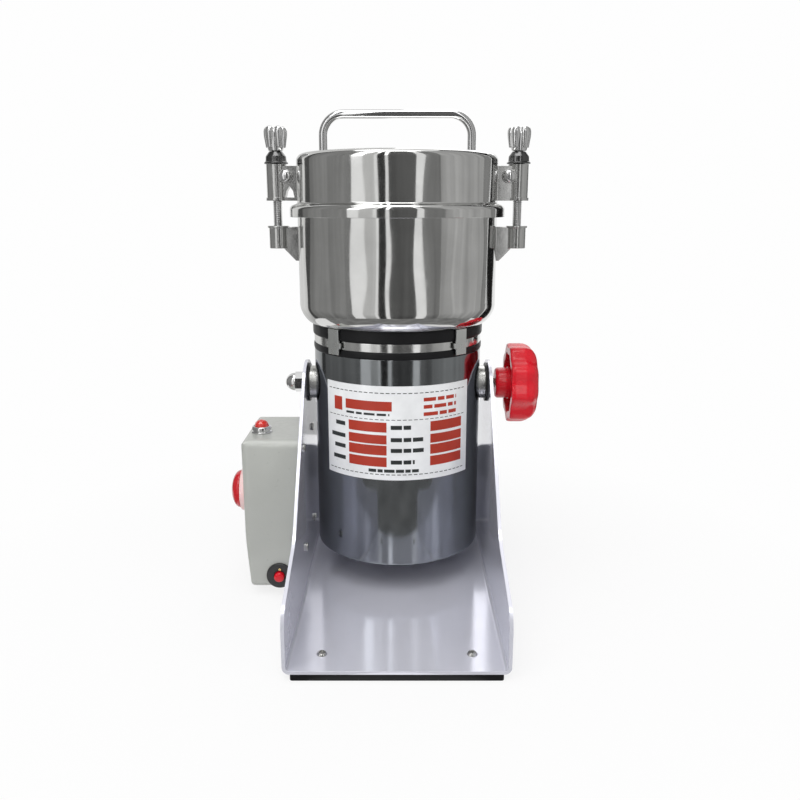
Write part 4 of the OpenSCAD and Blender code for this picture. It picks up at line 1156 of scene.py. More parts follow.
@dataclass(frozen=True)
class ControlBox:
    """Box on the left side plate with its lamp, timer, reset button and cord inlet.

    Attributes:
        screw_r: Radius of the box screws' heads.
        recess: Length and depth of their cross recesses.
        lamp_h: Height of the lamp's collar above the box.
        collar: Radii of the collar: bore, tube, nut, waist, ring and lip.
        collar_z: Heights above its foot: end of the nut, start and end of the waist, start of the ring.
        lens: Radii of the lamp's lens: foot, shoulder and crown.
        facets: Facets round the lens.
        dial_r: Radius of the timer's dial.
        dial_bore: Radius of the dial's hole.
        knob_r: Radius of the timer's knob.
        knob_rim: Straight rim of the timer's knob.
        knob_gap: Gap between dial and knob.
        dome_steps: Steps of the knob's dome from rim to top.
        shaft: Radius and length of the timer's shaft.
        marks: Marks on the timer's dial.
        mark_ends: Ends of the marks from the dial's rim: inner of a long and of a short one, and outer.
        mark_size: Width and thickness of a mark.
        dial_start: Angle of the first mark.
        dial_turn: Angle that the marks cover.
        bezel: Radii of the reset button's bezel: bore, sleeve and disc.
        disc: Thickness of its disc.
        pin: Place of the small pin on the disc, and its radius.
        cap: Radii of the reset button's face and side.
        sleeve: Radii of the cord inlet: bore, neck, flange, tail and end.
        flange: Front and rear of the inlet's flange.
        ribs: Ribs of the inlet's tail.
        rib_first: Place and radius of the first rib.
        rib_step: Distance between ribs and how much each is smaller.
        rib: Depth of a rib, and where its face starts, its face ends and the rib ends.
    """

    screw_r: float = 2.85
    recess: tuple[float, float] = (3.4, 0.8)
    lamp_h: float = 4.6
    collar: tuple[float, ...] = (4.8, 5.2, 6.5, 5.95, 6.3, 5.5)
    collar_z: tuple[float, ...] = (1.0, 1.35, 1.9, 2.2)
    lens: tuple[float, float, float] = (4.6, 4.1, 2.7)
    facets: int = 10
    dial_r: float = 14.5
    dial_bore: float = 4.0
    knob_r: float = 12.4
    knob_rim: float = 1.0
    knob_gap: float = 0.3
    dome_steps: int = 12
    shaft: tuple[float, float] = (3.0, 11.0)
    marks: int = 25
    mark_ends: tuple[float, float, float] = (1.5, 1.1, 0.6)
    mark_size: tuple[float, float] = (0.28, 0.06)
    dial_start: float = -60.0
    dial_turn: float = 300.0
    bezel: tuple[float, float, float] = (3.6, 4.5, 8.5)
    disc: float = 2.0
    pin: tuple[float, float, float] = (0.4, 4.7, 0.9)
    cap: tuple[float, float] = (2.2, 3.3)
    sleeve: tuple[float, ...] = (3.5, 5.9, 7.9, 6.4, 5.0)
    flange: tuple[float, float] = (4.5, 7.5)
    ribs: int = 3
    rib_first: tuple[float, float] = (8.2, 6.3)
    rib_step: tuple[float, float] = (1.8, 0.3)
    rib: tuple[float, ...] = (0.7, 0.2, 1.1, 1.3)

    def build(self) -> None:
        """Make the box's pieces."""
        refined("box_shell", Look.BOX, 0.35)
        box = Span.of("box_screws")
        heads = [(box.high.x, y, z) for y in (box.low.y + self.screw_r, box.high.y - self.screw_r)
                 for z in (box.low.z + self.screw_r, box.high.z - self.screw_r)]
        refined("box_screws", Look.ZINC, SCREW_EDGE, cuts=pan_slots(heads, self.recess, Aim.RIGHT))
        refined("timer_body", Look.GREY, 0.4)
        refined("breaker_body", Look.BLACK, 0.3)
        refined("reset_spring", Look.ZINC, 0.0)
        self._lamp()
        self._timer_dial()
        self._timer_knob()
        self._reset()
        self._inlet()

    def _lamp(self) -> None:
        """Make the pilot lamp: a chrome nut with a collar and a faceted lens."""
        box, glass = Span.of("lamp_bezel"), Span.of("lamp_lens")
        x, y, top = box.centre.x, box.centre.y, box.high.z
        foot = top - self.lamp_h
        bore, tube, nut, waist, ring, lip = self.collar
        nut_z, waist_z, neck_z, ring_z = (foot + height for height in self.collar_z)
        body = Shape.turned([(bore, box.low.z, 0.1), (tube, box.low.z, 0.1), (tube, foot), (nut, foot, 0.15),
                             (nut, nut_z, 0.3), (waist, waist_z), (waist, neck_z), (ring, ring_z, 0.2),
                             (ring - 0.1, top - 0.9, 0.35), (lip, top, 0.5), (bore, top - 0.2)],
                            closed=True, steps=SMALL_STEPS)
        body.moved(x, y).piece("lamp_collar", Look.CHROME, "base", Slot.CHROME, ["lamp_bezel"])
        base, shoulder, crown = self.lens
        lens = Shape.turned([(0, glass.low.z), (base, glass.low.z), (base, top - 0.2), (shoulder, top + 1.8),
                             (crown, glass.high.z - 0.8), (0, glass.high.z)], steps=self.facets)
        lens.moved(x, y).piece("lamp_faceted_lens", Look.LENS, "base", Slot.LENS, ["lamp_lens"], crease=8)

    def _timer_dial(self) -> None:
        """Make the timer's dial and its marks."""
        dial = Span.of("timer_dial")
        y, z = dial.centre.y, dial.centre.z
        rim, bore, thick = self.dial_r, self.dial_bore, dial.size.x
        disc = Shape.turned([(bore, 0), (rim, 0, 0.2), (rim, 0.8), (rim - 0.5, thick, 0.5), (bore, thick)],
                            closed=True, steps=72).aimed(Aim.LEFT, dial.high.x, y, z)
        disc.piece("timer_scale", Look.DIAL, "base", Slot.WHITE, ["timer_dial"])
        marks = Shape()
        long_end, short_end, outer_end = self.mark_ends
        half, height = self.mark_size[0] / 2, self.mark_size[1]
        for index in range(self.marks):
            reach = rim - (long_end if index % 5 == 0 else short_end)
            mark = Shape.block((reach, -half, 0), (rim - outer_end, half, height))
            marks.joined(mark.spun(index * self.dial_turn / (self.marks - 1) + self.dial_start))
        marks.aimed(Aim.LEFT, dial.low.x, y, z)
        marks.piece("timer_scale_marks", Look.INK_DARK, "base", Slot.WHITE)

    def _timer_knob(self) -> None:
        """Make the timer's domed knob with its shaft."""
        dial = Span.of("timer_dial")
        foot = dial.low.x - self.knob_gap
        radius, rim = self.knob_r, self.knob_rim
        rise = foot - Span.of("timer_knob").low.x - rim
        arc = [math.radians(90 * step / self.dome_steps) for step in range(self.dome_steps)]
        dome = Shape.turned([(0, 0), (radius, 0, 0.3)]
                            + [(radius * math.cos(a), rim + rise * math.sin(a)) for a in arc]
                            + [(0, rim + rise)], steps=72)
        shaft_r, length = self.shaft
        dome.joined(Shape.rod(shaft_r, -length, 1.0, 0.3, 32))
        dome.aimed(Aim.LEFT, foot, dial.centre.y, dial.centre.z)
        dome.piece("timer_dome", Look.DEEP_RED, "timer_knob", Slot.RED, ["timer_knob"], crease=40)

    def _reset(self) -> None:
        """Make the breaker's round bezel, its pin and its button."""
        box, button = Span.of("reset_bezel"), Span.of("reset_button")
        x, y, z = box.centre.x, box.low.y, box.centre.z
        bore, sleeve, outer = self.bezel
        deep = box.size.y
        bezel = Shape.turned([(bore, 0, 0.2), (outer - 0.4, 0, 0.3), (outer, 0.7, 0.2),
                              (outer, self.disc, 0.1), (sleeve, self.disc), (sleeve, deep, 0.1),
                              (bore, deep, 0.1)], closed=True, steps=64).aimed(Aim.REAR, x, y, z)
        bezel.piece("reset_bezel_disc", Look.BLACK, "base", Slot.BLACK, ["reset_bezel"])
        side, up, pin_r = self.pin
        pin = Shape.rod(pin_r, -0.35, 0.6, 0.2, 20).aimed(Aim.REAR, x + side, y, z + up)
        pin.piece("reset_index_pin", Look.BRASS, "base", Slot.BRASS)
        face, wall = self.cap
        cap = Shape.turned([(0, 0), (face, 0, 1.0), (wall, 0.9, 0.6), (wall, button.size.y, 0.2),
                            (0, button.size.y)], steps=SMALL_STEPS).aimed(Aim.REAR, x, button.low.y, z)
        cap.piece("reset_cap", Look.RED, "reset_button", Slot.RED, ["reset_button"])

    def _inlet(self) -> None:
        """Make the cord inlet: a flanged rubber sleeve with ribs."""
        box = Span.of("cord_gland")
        bore, neck, flange, tail, end = self.sleeve
        front, rear = self.flange
        corners = [(bore, 0, 0.2), (neck, 0, 0.2), (neck, front), (flange, front, 0.4), (flange, rear, 0.5),
                   (tail, rear)]
        depth, face, face_end, rib_end = self.rib
        for index in range(self.ribs):
            low = self.rib_first[0] + index * self.rib_step[0]
            outer = self.rib_first[1] - index * self.rib_step[1]
            corners += [(outer - depth, low), (outer, low + face, 0.15), (outer, low + face_end, 0.15),
                        (outer - depth, low + rib_end)]
        corners += [(end, box.size.y, 0.2), (bore, box.size.y, 0.2)]
        sleeve = Shape.turned(corners, closed=True, steps=SMALL_STEPS)
        sleeve.aimed(Aim.REAR, box.centre.x, box.low.y, box.centre.z)
        sleeve.piece("cord_inlet_sleeve", Look.BLACK, "base", Slot.BLACK, ["cord_gland"])


# ---------------------------------------------------------------- mill


@dataclass(frozen=True)
class Dashes:
    """Row of printed dashes that stands for words.

    Attributes:
        start: First angle in degrees, from the front and to the right.
        stop: Last angle.
        upper: Upper edge below the label's top.
        lower: Lower edge below the label's top.
        lengths: Lengths of the dashes in degrees, used in turn.
        gap: Gap between them in degrees.
    """

    start: float
    stop: float
    upper: float
    lower: float
    lengths: tuple[float, ...] = (2.4,)
    gap: float = 1.2


@dataclass(frozen=True)
class LabelPrint:
    """Blank rows and bars printed on the label film, all without lettering.

    Attributes:
        radius: Outer face of the film.
        top: Upper edge of the label.
        ink: Thickness of the print.
        sunk: How far the print reaches into the film.
        rows: Rows below the label's top, upper and lower edge of their red bars.
        columns: First and last angle of the red bars.
        heads: Two large red bars: first and last angle, upper and lower edge.
        red_words: Red dashes.
        stroke: Height of the dark strokes in the rows.
        name_end: Angle at which the left strokes end.
        names: Lengths of the left strokes in degrees.
        value_start: Angle at which the right strokes start.
        values: Lengths of the right strokes in degrees.
        value_words: Lengths of the dashes in them in degrees.
        dark_words: Dark dashes and the dashed rules.
    """

    radius: float = 55.35
    top: float = 143.0
    ink: float = 0.06
    sunk: float = 0.02
    rows: tuple[tuple[float, float], ...] = ((22.8, 29.1), (30.9, 36.7), (37.6, 43.9), (45.2, 51.4))
    columns: tuple[tuple[float, float], ...] = ((-33.3, -6.9), (21.7, 46.8))
    heads: tuple[tuple[float, ...], ...] = ((-45.5, -38.5, 9.0, 17.6), (-35.5, -3.5, 9.6, 15.6))
    red_words: tuple[Dashes, ...] = (Dashes(17.0, 41.5, 7.6, 9.9, (8.5, 5.0, 6.5), 1.3),
                                     Dashes(17.0, 41.5, 12.2, 14.5, (6.0, 9.0, 4.0), 1.3),
                                     Dashes(17.0, 41.5, 16.8, 19.1, (10.0, 5.5), 1.3))
    stroke: float = 2.6
    name_end: float = -36.2
    names: tuple[float, ...] = (8.2, 12.4, 9.6, 11.0)
    value_start: float = -4.2
    values: tuple[float, ...] = (13.0, 21.0, 22.4, 15.5)
    value_words: tuple[float, ...] = (7.2, 5.0)
    dark_words: tuple[Dashes, ...] = (Dashes(-35.0, -5.0, 17.2, 18.6, (6.0, 4.2, 7.4), 1.4),
                                      Dashes(-50.5, 50.5, 4.1, 4.6), Dashes(-50.5, 50.5, 20.9, 21.3),
                                      Dashes(-50.5, 50.5, 56.2, 56.7),
                                      Dashes(-19.0, 14.0, 53.0, 55.0, (5.2, 3.4, 6.8), 0.9))

    def bar(self, start: float, stop: float, upper: float, lower: float) -> Shape:
        """Make one printed bar between two angles and two depths below the label's top."""
        return Shape.arc_bar(self.radius - self.sunk, self.radius + self.ink, self.top - lower,
                             self.top - upper, start, stop)

    def dashes(self, row: Dashes) -> Shape:
        """Make a row of dashes.

        Args:
            row: Where it stands and how it is spaced.

        Returns:
            The row.
        """
        made = Shape()
        at, index = row.start, 0
        while at < row.stop - 0.5:
            end = min(at + row.lengths[index % len(row.lengths)], row.stop)
            made.joined(self.bar(at, end, row.upper, row.lower))
            at, index = end + row.gap, index + 1
        return made

    def build(self) -> None:
        """Make the red and the dark print."""
        red = Shape()
        red.joined(*[self.bar(*column, *row) for column in self.columns for row in self.rows])
        red.joined(*[self.bar(*head) for head in self.heads], *map(self.dashes, self.red_words))
        red.piece("label_red_print", Look.INK_RED, "mill", Slot.LABEL)
        dark = Shape()
        for row, name, value in zip(self.rows, self.names, self.values):
            upper, lower = (sum(row) - self.stroke) / 2, (sum(row) + self.stroke) / 2
            words = Dashes(self.value_start, self.value_start + value, upper, lower, self.value_words, 1.0)
            dark.joined(self.bar(self.name_end - name, self.name_end, upper, lower), self.dashes(words))
        dark.joined(*map(self.dashes, self.dark_words))
        dark.piece("label_dark_print", Look.INK_DARK, "mill", Slot.LABEL)


@dataclass(frozen=True)
class MotorCasing:
    """Polished motor casing with its cover, label, trunnions and their bolts.

    Attributes:
        radius: Outer radius.
        low: Underside.
        high: Upper edge.
        sheet: Sheet thickness.
        lip: Width of the lower lip.
        stud_hole: Radius of the holes for the pivot's bolt and stud.
        stud: Radius, pitch and depth of the lock stud's thread.
        film: Inner and outer face of the label's film.
        film_half: Angle from the label's middle to its side.
        label: The print on the film.
    """

    radius: float = 55.0
    low: float = 25.0
    high: float = 159.0
    sheet: float = 1.2
    lip: float = 4.5
    stud_hole: float = 3.5
    stud: tuple[float, float, float] = (3.0, 1.0, 0.5)
    film: tuple[float, float] = (55.05, 55.35)
    film_half: float = 53.0
    label: LabelPrint = field(default_factory=LabelPrint)

    def build(self) -> None:
        """Make the casing's pieces."""
        inner, lip, ledge = self.radius - self.sheet, self.radius - self.lip, self.low + self.sheet
        wall = Shape.turned([(lip, self.low, 0.3), (self.radius, self.low, 1.5),
                             (self.radius, self.high, 0.3), (inner, self.high, 0.3), (inner, ledge),
                             (lip, ledge)], closed=True)
        stud, reach = Span.of("lock_stud"), self.radius + 2
        wall.cut(Shape.rod(self.stud_hole, -reach, reach).aimed(Aim.RIGHT, z=stud.centre.z))
        # The casing's finish is the polished steel darkened with painted shade.
        wall.piece("casing_wall", Look.CASING, "mill", Slot.POLISHED, ["casing"])
        refined("bottom_cover", Look.BRUSHED, 0.2)
        box = Span.of("label_plate")
        film = Shape.arc_bar(*self.film, box.low.z, box.high.z, -self.film_half, self.film_half, 2.0)
        film.piece("label_film_sheet", Look.LABEL, "mill", Slot.LABEL, ["label_plate"])
        self.label.build()
        refined("trunnions", Look.ZINC, 0.3)
        refined("pivot_washer", Look.CHROME)
        refined("lock_washer", Look.CHROME)
        refined("pivot_bolt", Look.CHROME, 0.35, 3)
        radius, pitch, depth = self.stud
        thread = Shape.thread(radius, 0, stud.size.x, pitch, depth)
        thread.aimed(Aim.RIGHT, stud.low.x, 0, stud.centre.z)
        thread.piece("lock_stud_thread", Look.ZINC, "lock_stud", Slot.ZINC, ["lock_stud"], ROUND_CREASE)


@dataclass(frozen=True)
class Neck:
    """Two rubber rings and a bright band between casing and bowl, held by four clips.

    Attributes:
        inner: Inner radius of rings and band.
        slope: Width and height of the sloped edges of the rubber rings.
    """

    inner: float = 49.0
    slope: tuple[float, float] = (0.3, 0.9)

    def build(self) -> None:
        """Make the neck's pieces."""
        width, height = self.slope
        for name, node in (("lower_rubber_ring", "lower_ring"), ("upper_rubber_ring", "upper_ring")):
            box = Span.of(node)
            outer, low, high = box.high.x, box.low.z, box.high.z
            ring = Shape.turned([(self.inner, low), (outer - width, low, 0.3), (outer, low + height, 0.4),
                                 (outer, high - height, 0.4), (outer - width, high, 0.3),
                                 (self.inner, high)], closed=True)
            ring.piece(name, Look.RUBBER, "mill", Slot.RUBBER, [node])
        box = Span.of("neck_band")
        band = Shape.ring(box.high.x, self.inner, box.low.z, box.high.z, 0.5)
        band.piece("bright_band", Look.BAND, "mill", Slot.POLISHED, ["neck_band"])
        refined("neck_clips", Look.CLIP, 0.3, 3)


@dataclass(frozen=True)
class Bowl:
    """Grinding bowl with its bolts, its shaft seal and the threaded barrels of the clamps.

    Attributes:
        radius: Outer radius.
        low: Foot of the bowl.
        high: Top of the rim.
        sheet: Sheet thickness.
        corner: Radius of the lower corner.
        turn: Angle through which the lower corner bends, in degrees.
        foot: Width of the foot ring.
        floor: Underside of the floor above the foot.
        bore: Radius of the hole for the shaft's seal.
        inner_cut: Length cut from the sides of the chamber's corner.
        bead: Width of the rim's bead, its full height and its height without the slope.
        bolt_circle: Radius of the circle on which the bolts stand.
        recess: Length and depth of the bolts' cross recesses.
    """

    radius: float = 63.8
    low: float = 176.4
    high: float = 246.8
    sheet: float = 1.5
    corner: float = 13.5
    turn: float = 58.0
    foot: float = 5.0
    floor: float = 2.2
    bore: float = 9.1
    inner_cut: float = 7.75
    bead: tuple[float, float, float] = (1.5, 2.4, 1.6)
    bolt_circle: float = 40.0
    recess: tuple[float, float] = (4.6, 1.2)

    def build(self) -> None:
        """Make the bowl's pieces."""
        outer, rim = self.radius, self.high
        inner = outer - self.sheet
        turn = math.radians(self.turn)
        cut = self.corner * math.tan(turn / 2)
        corner_z = self.low + self.corner * math.sin(turn)
        edge = outer - self.corner * (1 - math.cos(turn))
        floor = self.low + self.floor
        chamber = floor + self.sheet
        bead, slope_h, bead_h = self.bead
        pan = Shape.turned([(self.bore, floor), (edge - self.foot, floor), (edge - self.foot, self.low),
                            (edge, self.low), (outer, corner_z - cut, cut * 0.99), (outer, rim - slope_h),
                            (outer + bead, rim - bead_h, 0.4), (outer + bead, rim, 0.5), (inner, rim, 0.4),
                            (inner, chamber, self.inner_cut), (self.bore, chamber)], closed=True)
        pan.piece("bowl_pan", Look.STEEL, "mill", Slot.POLISHED, ["bowl"])
        refined("bowl_barrels", Look.CASTING, 0.35, 3)
        reach, top = self.bolt_circle / math.sqrt(2), Span.of("bowl_bolts").high.z
        places = [(x, y, top) for x in (-reach, reach) for y in (-reach, reach)]
        refined("bowl_bolts", Look.CHROME, SCREW_EDGE, cuts=pan_slots(places, self.recess, Aim.UP))
        refined("shaft_seal", Look.BRASS, 0.3)


@dataclass(frozen=True)
class Motor:
    """Inner parts of the motor and the blades on its shaft.

    Attributes:
        parts: Each node with its finish and the width of its eased edges.
    """

    parts: tuple[tuple[str, Finish, float], ...] = (
        ("stator_core", Look.SHEETS, 0.2), ("field_coils", Look.WIRE, 0.8),
        ("lower_end_shield", Look.CAST, 0.4), ("upper_end_shield", Look.CAST, 0.4),
        ("bearings", Look.CHROME, 0.3), ("brush_holders", Look.BRASS, 0.3),
        ("carbon_brushes", Look.CARBON, 0.2), ("tie_bolts", Look.ZINC, 0.2),
        ("rotor_shaft", Look.BRUSHED, 0.4), ("armature_core", Look.SHEETS, 0.2),
        ("armature_windings", Look.WIRE, 1.2), ("commutator", Look.COPPER, 0.1),
        ("cooling_fan", Look.BLACK, 0.2), ("lower_blade", Look.BRUSHED, 0.45),
        ("blade_spacer", Look.BRUSHED, 0.4), ("upper_blade", Look.BRUSHED, 0.45),
        ("blade_nut", Look.CHROME, 0.5))

    def build(self) -> None:
        """Make the motor's pieces."""
        for node, look, edge in self.parts:
            refined(node, look, edge)


# ---------------------------------------------------------------- lid and clamps


@dataclass(frozen=True)
class Lid:
    """Lid with its gasket and its bent rod handle.

    Attributes:
        radius: Outer radius of the wall.
        wall: Foot of the wall.
        top: Top of the lid.
        sheet: Sheet thickness.
        lip: How far the lip stands out of the wall.
        lip_sheet: Thickness of the lip's upright edge.
        skirt: Depth of the lip's lower edge below the foot of the wall.
        fall: Fall of the lip's upper and lower face.
        leg: Handle's legs from the mill's axis.
        rod: Radius of the handle's rod.
        bend: Bend radius of its corners.
        spigot: Length of the thinner ends of the rod, and how much thinner they are.
    """

    radius: float = 63.8
    wall: float = 251.0
    top: float = 281.0
    sheet: float = 1.5
    lip: float = 4.8
    lip_sheet: float = 1.2
    skirt: float = 8.4
    fall: tuple[float, float] = (1.72, 2.56)
    leg: float = 46.8
    rod: float = 2.7
    bend: float = 13.0
    spigot: tuple[float, float] = (5.0, 0.5)

    def build(self) -> None:
        """Make the lid's pieces."""
        inner, ceiling = self.radius - self.sheet, self.top - self.sheet
        lip, foot = self.radius + self.lip, self.wall - self.skirt
        under = lip - self.lip_sheet
        upper, lower = (self.wall - fall for fall in self.fall)
        cover = Shape.turned([(0, ceiling), (inner, ceiling, 3), (inner, self.wall - 0.4, 0.6),
                              (under, lower, 1.26), (under, foot, 0.2), (lip, foot, 0.3), (lip, upper, 2.1),
                              (self.radius, self.wall, 0.6), (self.radius, self.top, 4.5), (0, self.top)])
        cover.piece("lid_cover", Look.STEEL, "lid", Slot.POLISHED, ["lid"])
        refined("lid_gasket", Look.SILICONE, 0.3)
        refined("handle_nuts", Look.BRUSHED, 0.3)
        self._handle()

    def _handle(self) -> None:
        """Sweep the rod up one leg, over and down the other."""
        box = Span.of("handle")
        bend_z = box.high.z - self.rod - self.bend
        length, thinner = self.spigot
        shoulder = box.low.z + length
        straight = self.leg - self.bend
        bar = Shape.bar_end(self.rod, (self.leg, 0, shoulder))
        bar.run((0, 0, bend_z - shoulder))
        bar.bend((straight, 0, bend_z))
        bar.run((-2 * straight, 0, 0))
        bar.bend((-straight, 0, bend_z))
        bar.run((0, 0, shoulder - bend_z))
        spigot = Shape.rod(self.rod - thinner, box.low.z, self.top + 1, 0.3, 24).moved(self.leg)
        bar.joined(spigot.both_sides())
        bar.piece("handle_rod", Look.CHROME, "lid", Slot.CHROME, ["handle"], ROUND_CREASE)


@dataclass(frozen=True)
class Clamp:
    """One of the two clamps: cap washer and hand screw.

    Attributes:
        side: The side it sits on.
        axis: Its axis from the mill's axis.
        low: Lower end of the stud.
        crown: Foot of the lobed head.
        top: Top of the lobed head.
        lobes: Lobes of the head.
        reach: Radius over the lobes.
        lobe: Radius of a lobe, as a share of that radius.
        washer: Radii of the cap washer: bore, rim, foot of the cone and top.
        washer_z: Heights in the cap washer: end of the rim, foot, bend and shoulder of the cone, top.
        stud: Radius of the stud's thread.
        core: Radii of the head between its lobes: foot, middle and shoulder.
    """

    side: Side
    axis: float = 76.9
    low: float = 227.0
    crown: float = 283.1
    top: float = 298.0
    lobes: int = 5
    reach: float = 7.7
    lobe: float = 0.40
    washer: tuple[float, float, float, float] = (3.3, 7.5, 6.7, 4.2)
    washer_z: tuple[float, ...] = (0.8, 1.4, 2.4, 4.5, 7.5)
    stud: float = 3.0
    core: tuple[float, float, float] = (4.6, 5.6, 6.0)

    def build(self) -> None:
        """Make the clamp's pieces."""
        name = self.side.name.lower()
        foot = Span.of(f"{name}_cap_washer").low.z
        bore, rim, cone, tip = self.washer
        rim_z, cone_z, bend_z, shoulder_z, top = (foot + height for height in self.washer_z)
        washer = Shape.turned([(bore, foot), (rim, foot, 0.2), (rim, rim_z, 0.2), (cone, cone_z),
                               (cone - 0.2, bend_z), (cone - 0.3, shoulder_z, 0.4), (tip, top, 0.3),
                               (bore, top)], closed=True, steps=64)
        washer.moved(self.axis).put(self.side)
        # The washer takes the near-black finish as painted shade under the lobed head.
        washer.piece(f"{name}_domed_washer", Look.DARK, f"{name}_cap", Slot.CHROME, [f"{name}_cap_washer"])
        screw = Shape.thread(self.stud, self.low, self.crown + 1.5).joined(self._head())
        screw.moved(self.axis).put(self.side)
        screw.piece(f"{name}_lobed_screw", Look.CHROME, f"{name}_screw", Slot.CHROME,
                    [f"{name}_hand_screw"], ROUND_CREASE)

    def _head(self) -> Shape:
        """Make the lobed head round the Z axis.

        Returns:
            The head.
        """
        low, high = self.crown, self.top
        foot, middle, shoulder = self.core
        head = Shape.turned([(0, low), (foot, low, 0.4), (foot + 0.6, low + 2.5, 0.8), (middle, low + 6.0),
                             (shoulder, high - 4.0, 0.8), (shoulder - 1, high - 2.0, 0.8), (0, high - 1.8)],
                            steps=40)
        lobe_r = self.reach * self.lobe
        for index in range(self.lobes):
            lobe = Shape.turned([(0, low + 2.0), (lobe_r * 0.6, low + 2.0, 0.5), (lobe_r, high - 5.5, 1.5),
                                 (lobe_r, high - 1.8, 1.4), (lobe_r * 0.5, high, 0.9), (0, high)], steps=24)
            head.joined(lobe.moved(self.reach - lobe_r).spun(360 * index / self.lobes + 90))
        return head


@dataclass(frozen=True)
class Brackets:
    """Cast brackets with sleeves that hold the clamps on the lid, and their rivets.

    Attributes:
        edge: Width of the eased edges of the castings.
    """

    edge: float = 0.45

    def build(self) -> None:
        """Make the brackets and the rivets."""
        refined("clamp_brackets", Look.CASTING, self.edge, 3)
        refined("bracket_rivets", Look.CHROME, 0.2)


@dataclass(frozen=True)
class LockKnob:
    """Lobed plastic wheel on a hub that locks the tilt.

    Attributes:
        lobes: Lobes of the wheel.
        hollow: Depth of the finger hollows at the rim.
        radius: Radius over the lobes.
        hub: Radius of the hub.
        hub_length: Length of the hub.
        bore: Radius of the hub's hole for the stud.
        width: Thickness of the wheel.
        recess: Depth of the hollow in the wheel's near side.
        rim: Width of the wheel's rim round that hollow.
        dome: Radius lost to the rounded far side: at its edge, halfway and at its flat middle.
        fade: Power by which the lobes fade towards the hub.
    """

    lobes: int = 9
    hollow: float = 2.6
    radius: float = 27.0
    hub: float = 10.3
    hub_length: float = 8.5
    bore: float = 3.3
    width: float = 18.6
    recess: float = 5.0
    rim: float = 6.2
    dome: tuple[float, float, float] = (1.6, 5.5, 9.5)
    fade: float = 0.6

    def build(self) -> None:
        """Make the knob."""
        box = Span.of("lock_knob")
        outer, near = self.radius, self.hub_length
        far, deep = near + self.width, near + self.recess
        edge, half, middle = (outer - lost for lost in self.dome)
        hollow = outer - self.rim
        wheel = Shape.turned([(0, near), (self.hub + 0.5, near), (self.hub + 0.8, deep, 0.8),
                              (hollow - 0.4, deep, 0.8), (hollow, near, 0.5), (outer - 0.6, near, 0.6),
                              (outer, near + 1.8, 0.8), (outer, far - 8.0, 1.5), (edge, far - 4.0, 1.5),
                              (half, far - 1.0, 2.0), (middle, far, 1.0), (0, far)], steps=self.lobes * 24)
        for vert in wheel.bm.verts:
            self._draw_in(vert)
        core = Shape.turned([(self.bore, 0, 0.2), (self.hub - 1.2, 0, 0.8), (self.hub, 1.4, 0.8),
                             (self.hub, near + 0.6), (self.bore, near + 0.6)], closed=True, steps=64)
        wheel.joined(core).aimed(Aim.RIGHT, box.low.x, 0, box.centre.z)
        wheel.piece("lobed_wheel", Look.RED, "lock_knob", Slot.RED, ["lock_knob"], crease=46)

    def _draw_in(self, vert: bmesh.types.BMVert) -> None:
        """Draw a corner of the round wheel inwards between two lobes.

        Args:
            vert: The corner.
        """
        x, y, _ = vert.co
        share = (math.hypot(x, y) - self.hub) / (self.radius - self.hub)
        if share > 0:
            swing = (1 - math.cos(self.lobes * math.atan2(y, x))) / 2
            factor = 1 - self.hollow / self.radius * swing * share ** self.fade
            vert.co.x *= factor
            vert.co.y *= factor


# ---------------------------------------------------------------- studio


class Surround(Enum):
    """Grey cards round the mill that only bare metal and gloss mirror: first and last azimuth in
    degrees, from the front and to the right, and brightness."""

    LEFT_REAR = (-180.0, -118.0, 0.72)
    LEFT_EDGE = (-118.0, -108.0, 0.10)
    LEFT = (-108.0, -46.0, 0.27)
    LEFT_GAP = (-33.0, -24.0, 0.62)
    LEFT_FRONT = (-21.0, -11.5, 0.05)
    FRONT = (-7.0, 19.0, 0.12)
    RIGHT_FRONT = (28.0, 44.0, 0.24)
    RIGHT = (44.0, 104.0, 0.46)
    RIGHT_EDGE = (104.0, 116.0, 0.24)
    RIGHT_REAR = (118.0, 136.0, 0.015)


@dataclass(frozen=True)
class Lamp:
    """Soft square lamp that faces the mill.

    Attributes:
        name: Its name.
        place: Where it hangs, in metres.
        size: Its side in metres.
        power: Its power in watts.
        target: Height of the point that it faces, in metres.
    """

    name: str
    place: tuple[float, float, float]
    size: float
    power: float
    target: float = 0.14

    def build(self) -> None:
        """Hang the lamp."""
        light = bpy.data.lights.new(self.name, "AREA")
        light.shape = "SQUARE"
        light.size = self.size
        light.energy = self.power
        lamp = add_object(self.name, light)
        lamp.location = self.place
        aim = Vector((0.0, 0.0, self.target)) - Vector(self.place)
        lamp.rotation_euler = aim.to_track_quat("-Z", "Y").to_euler()


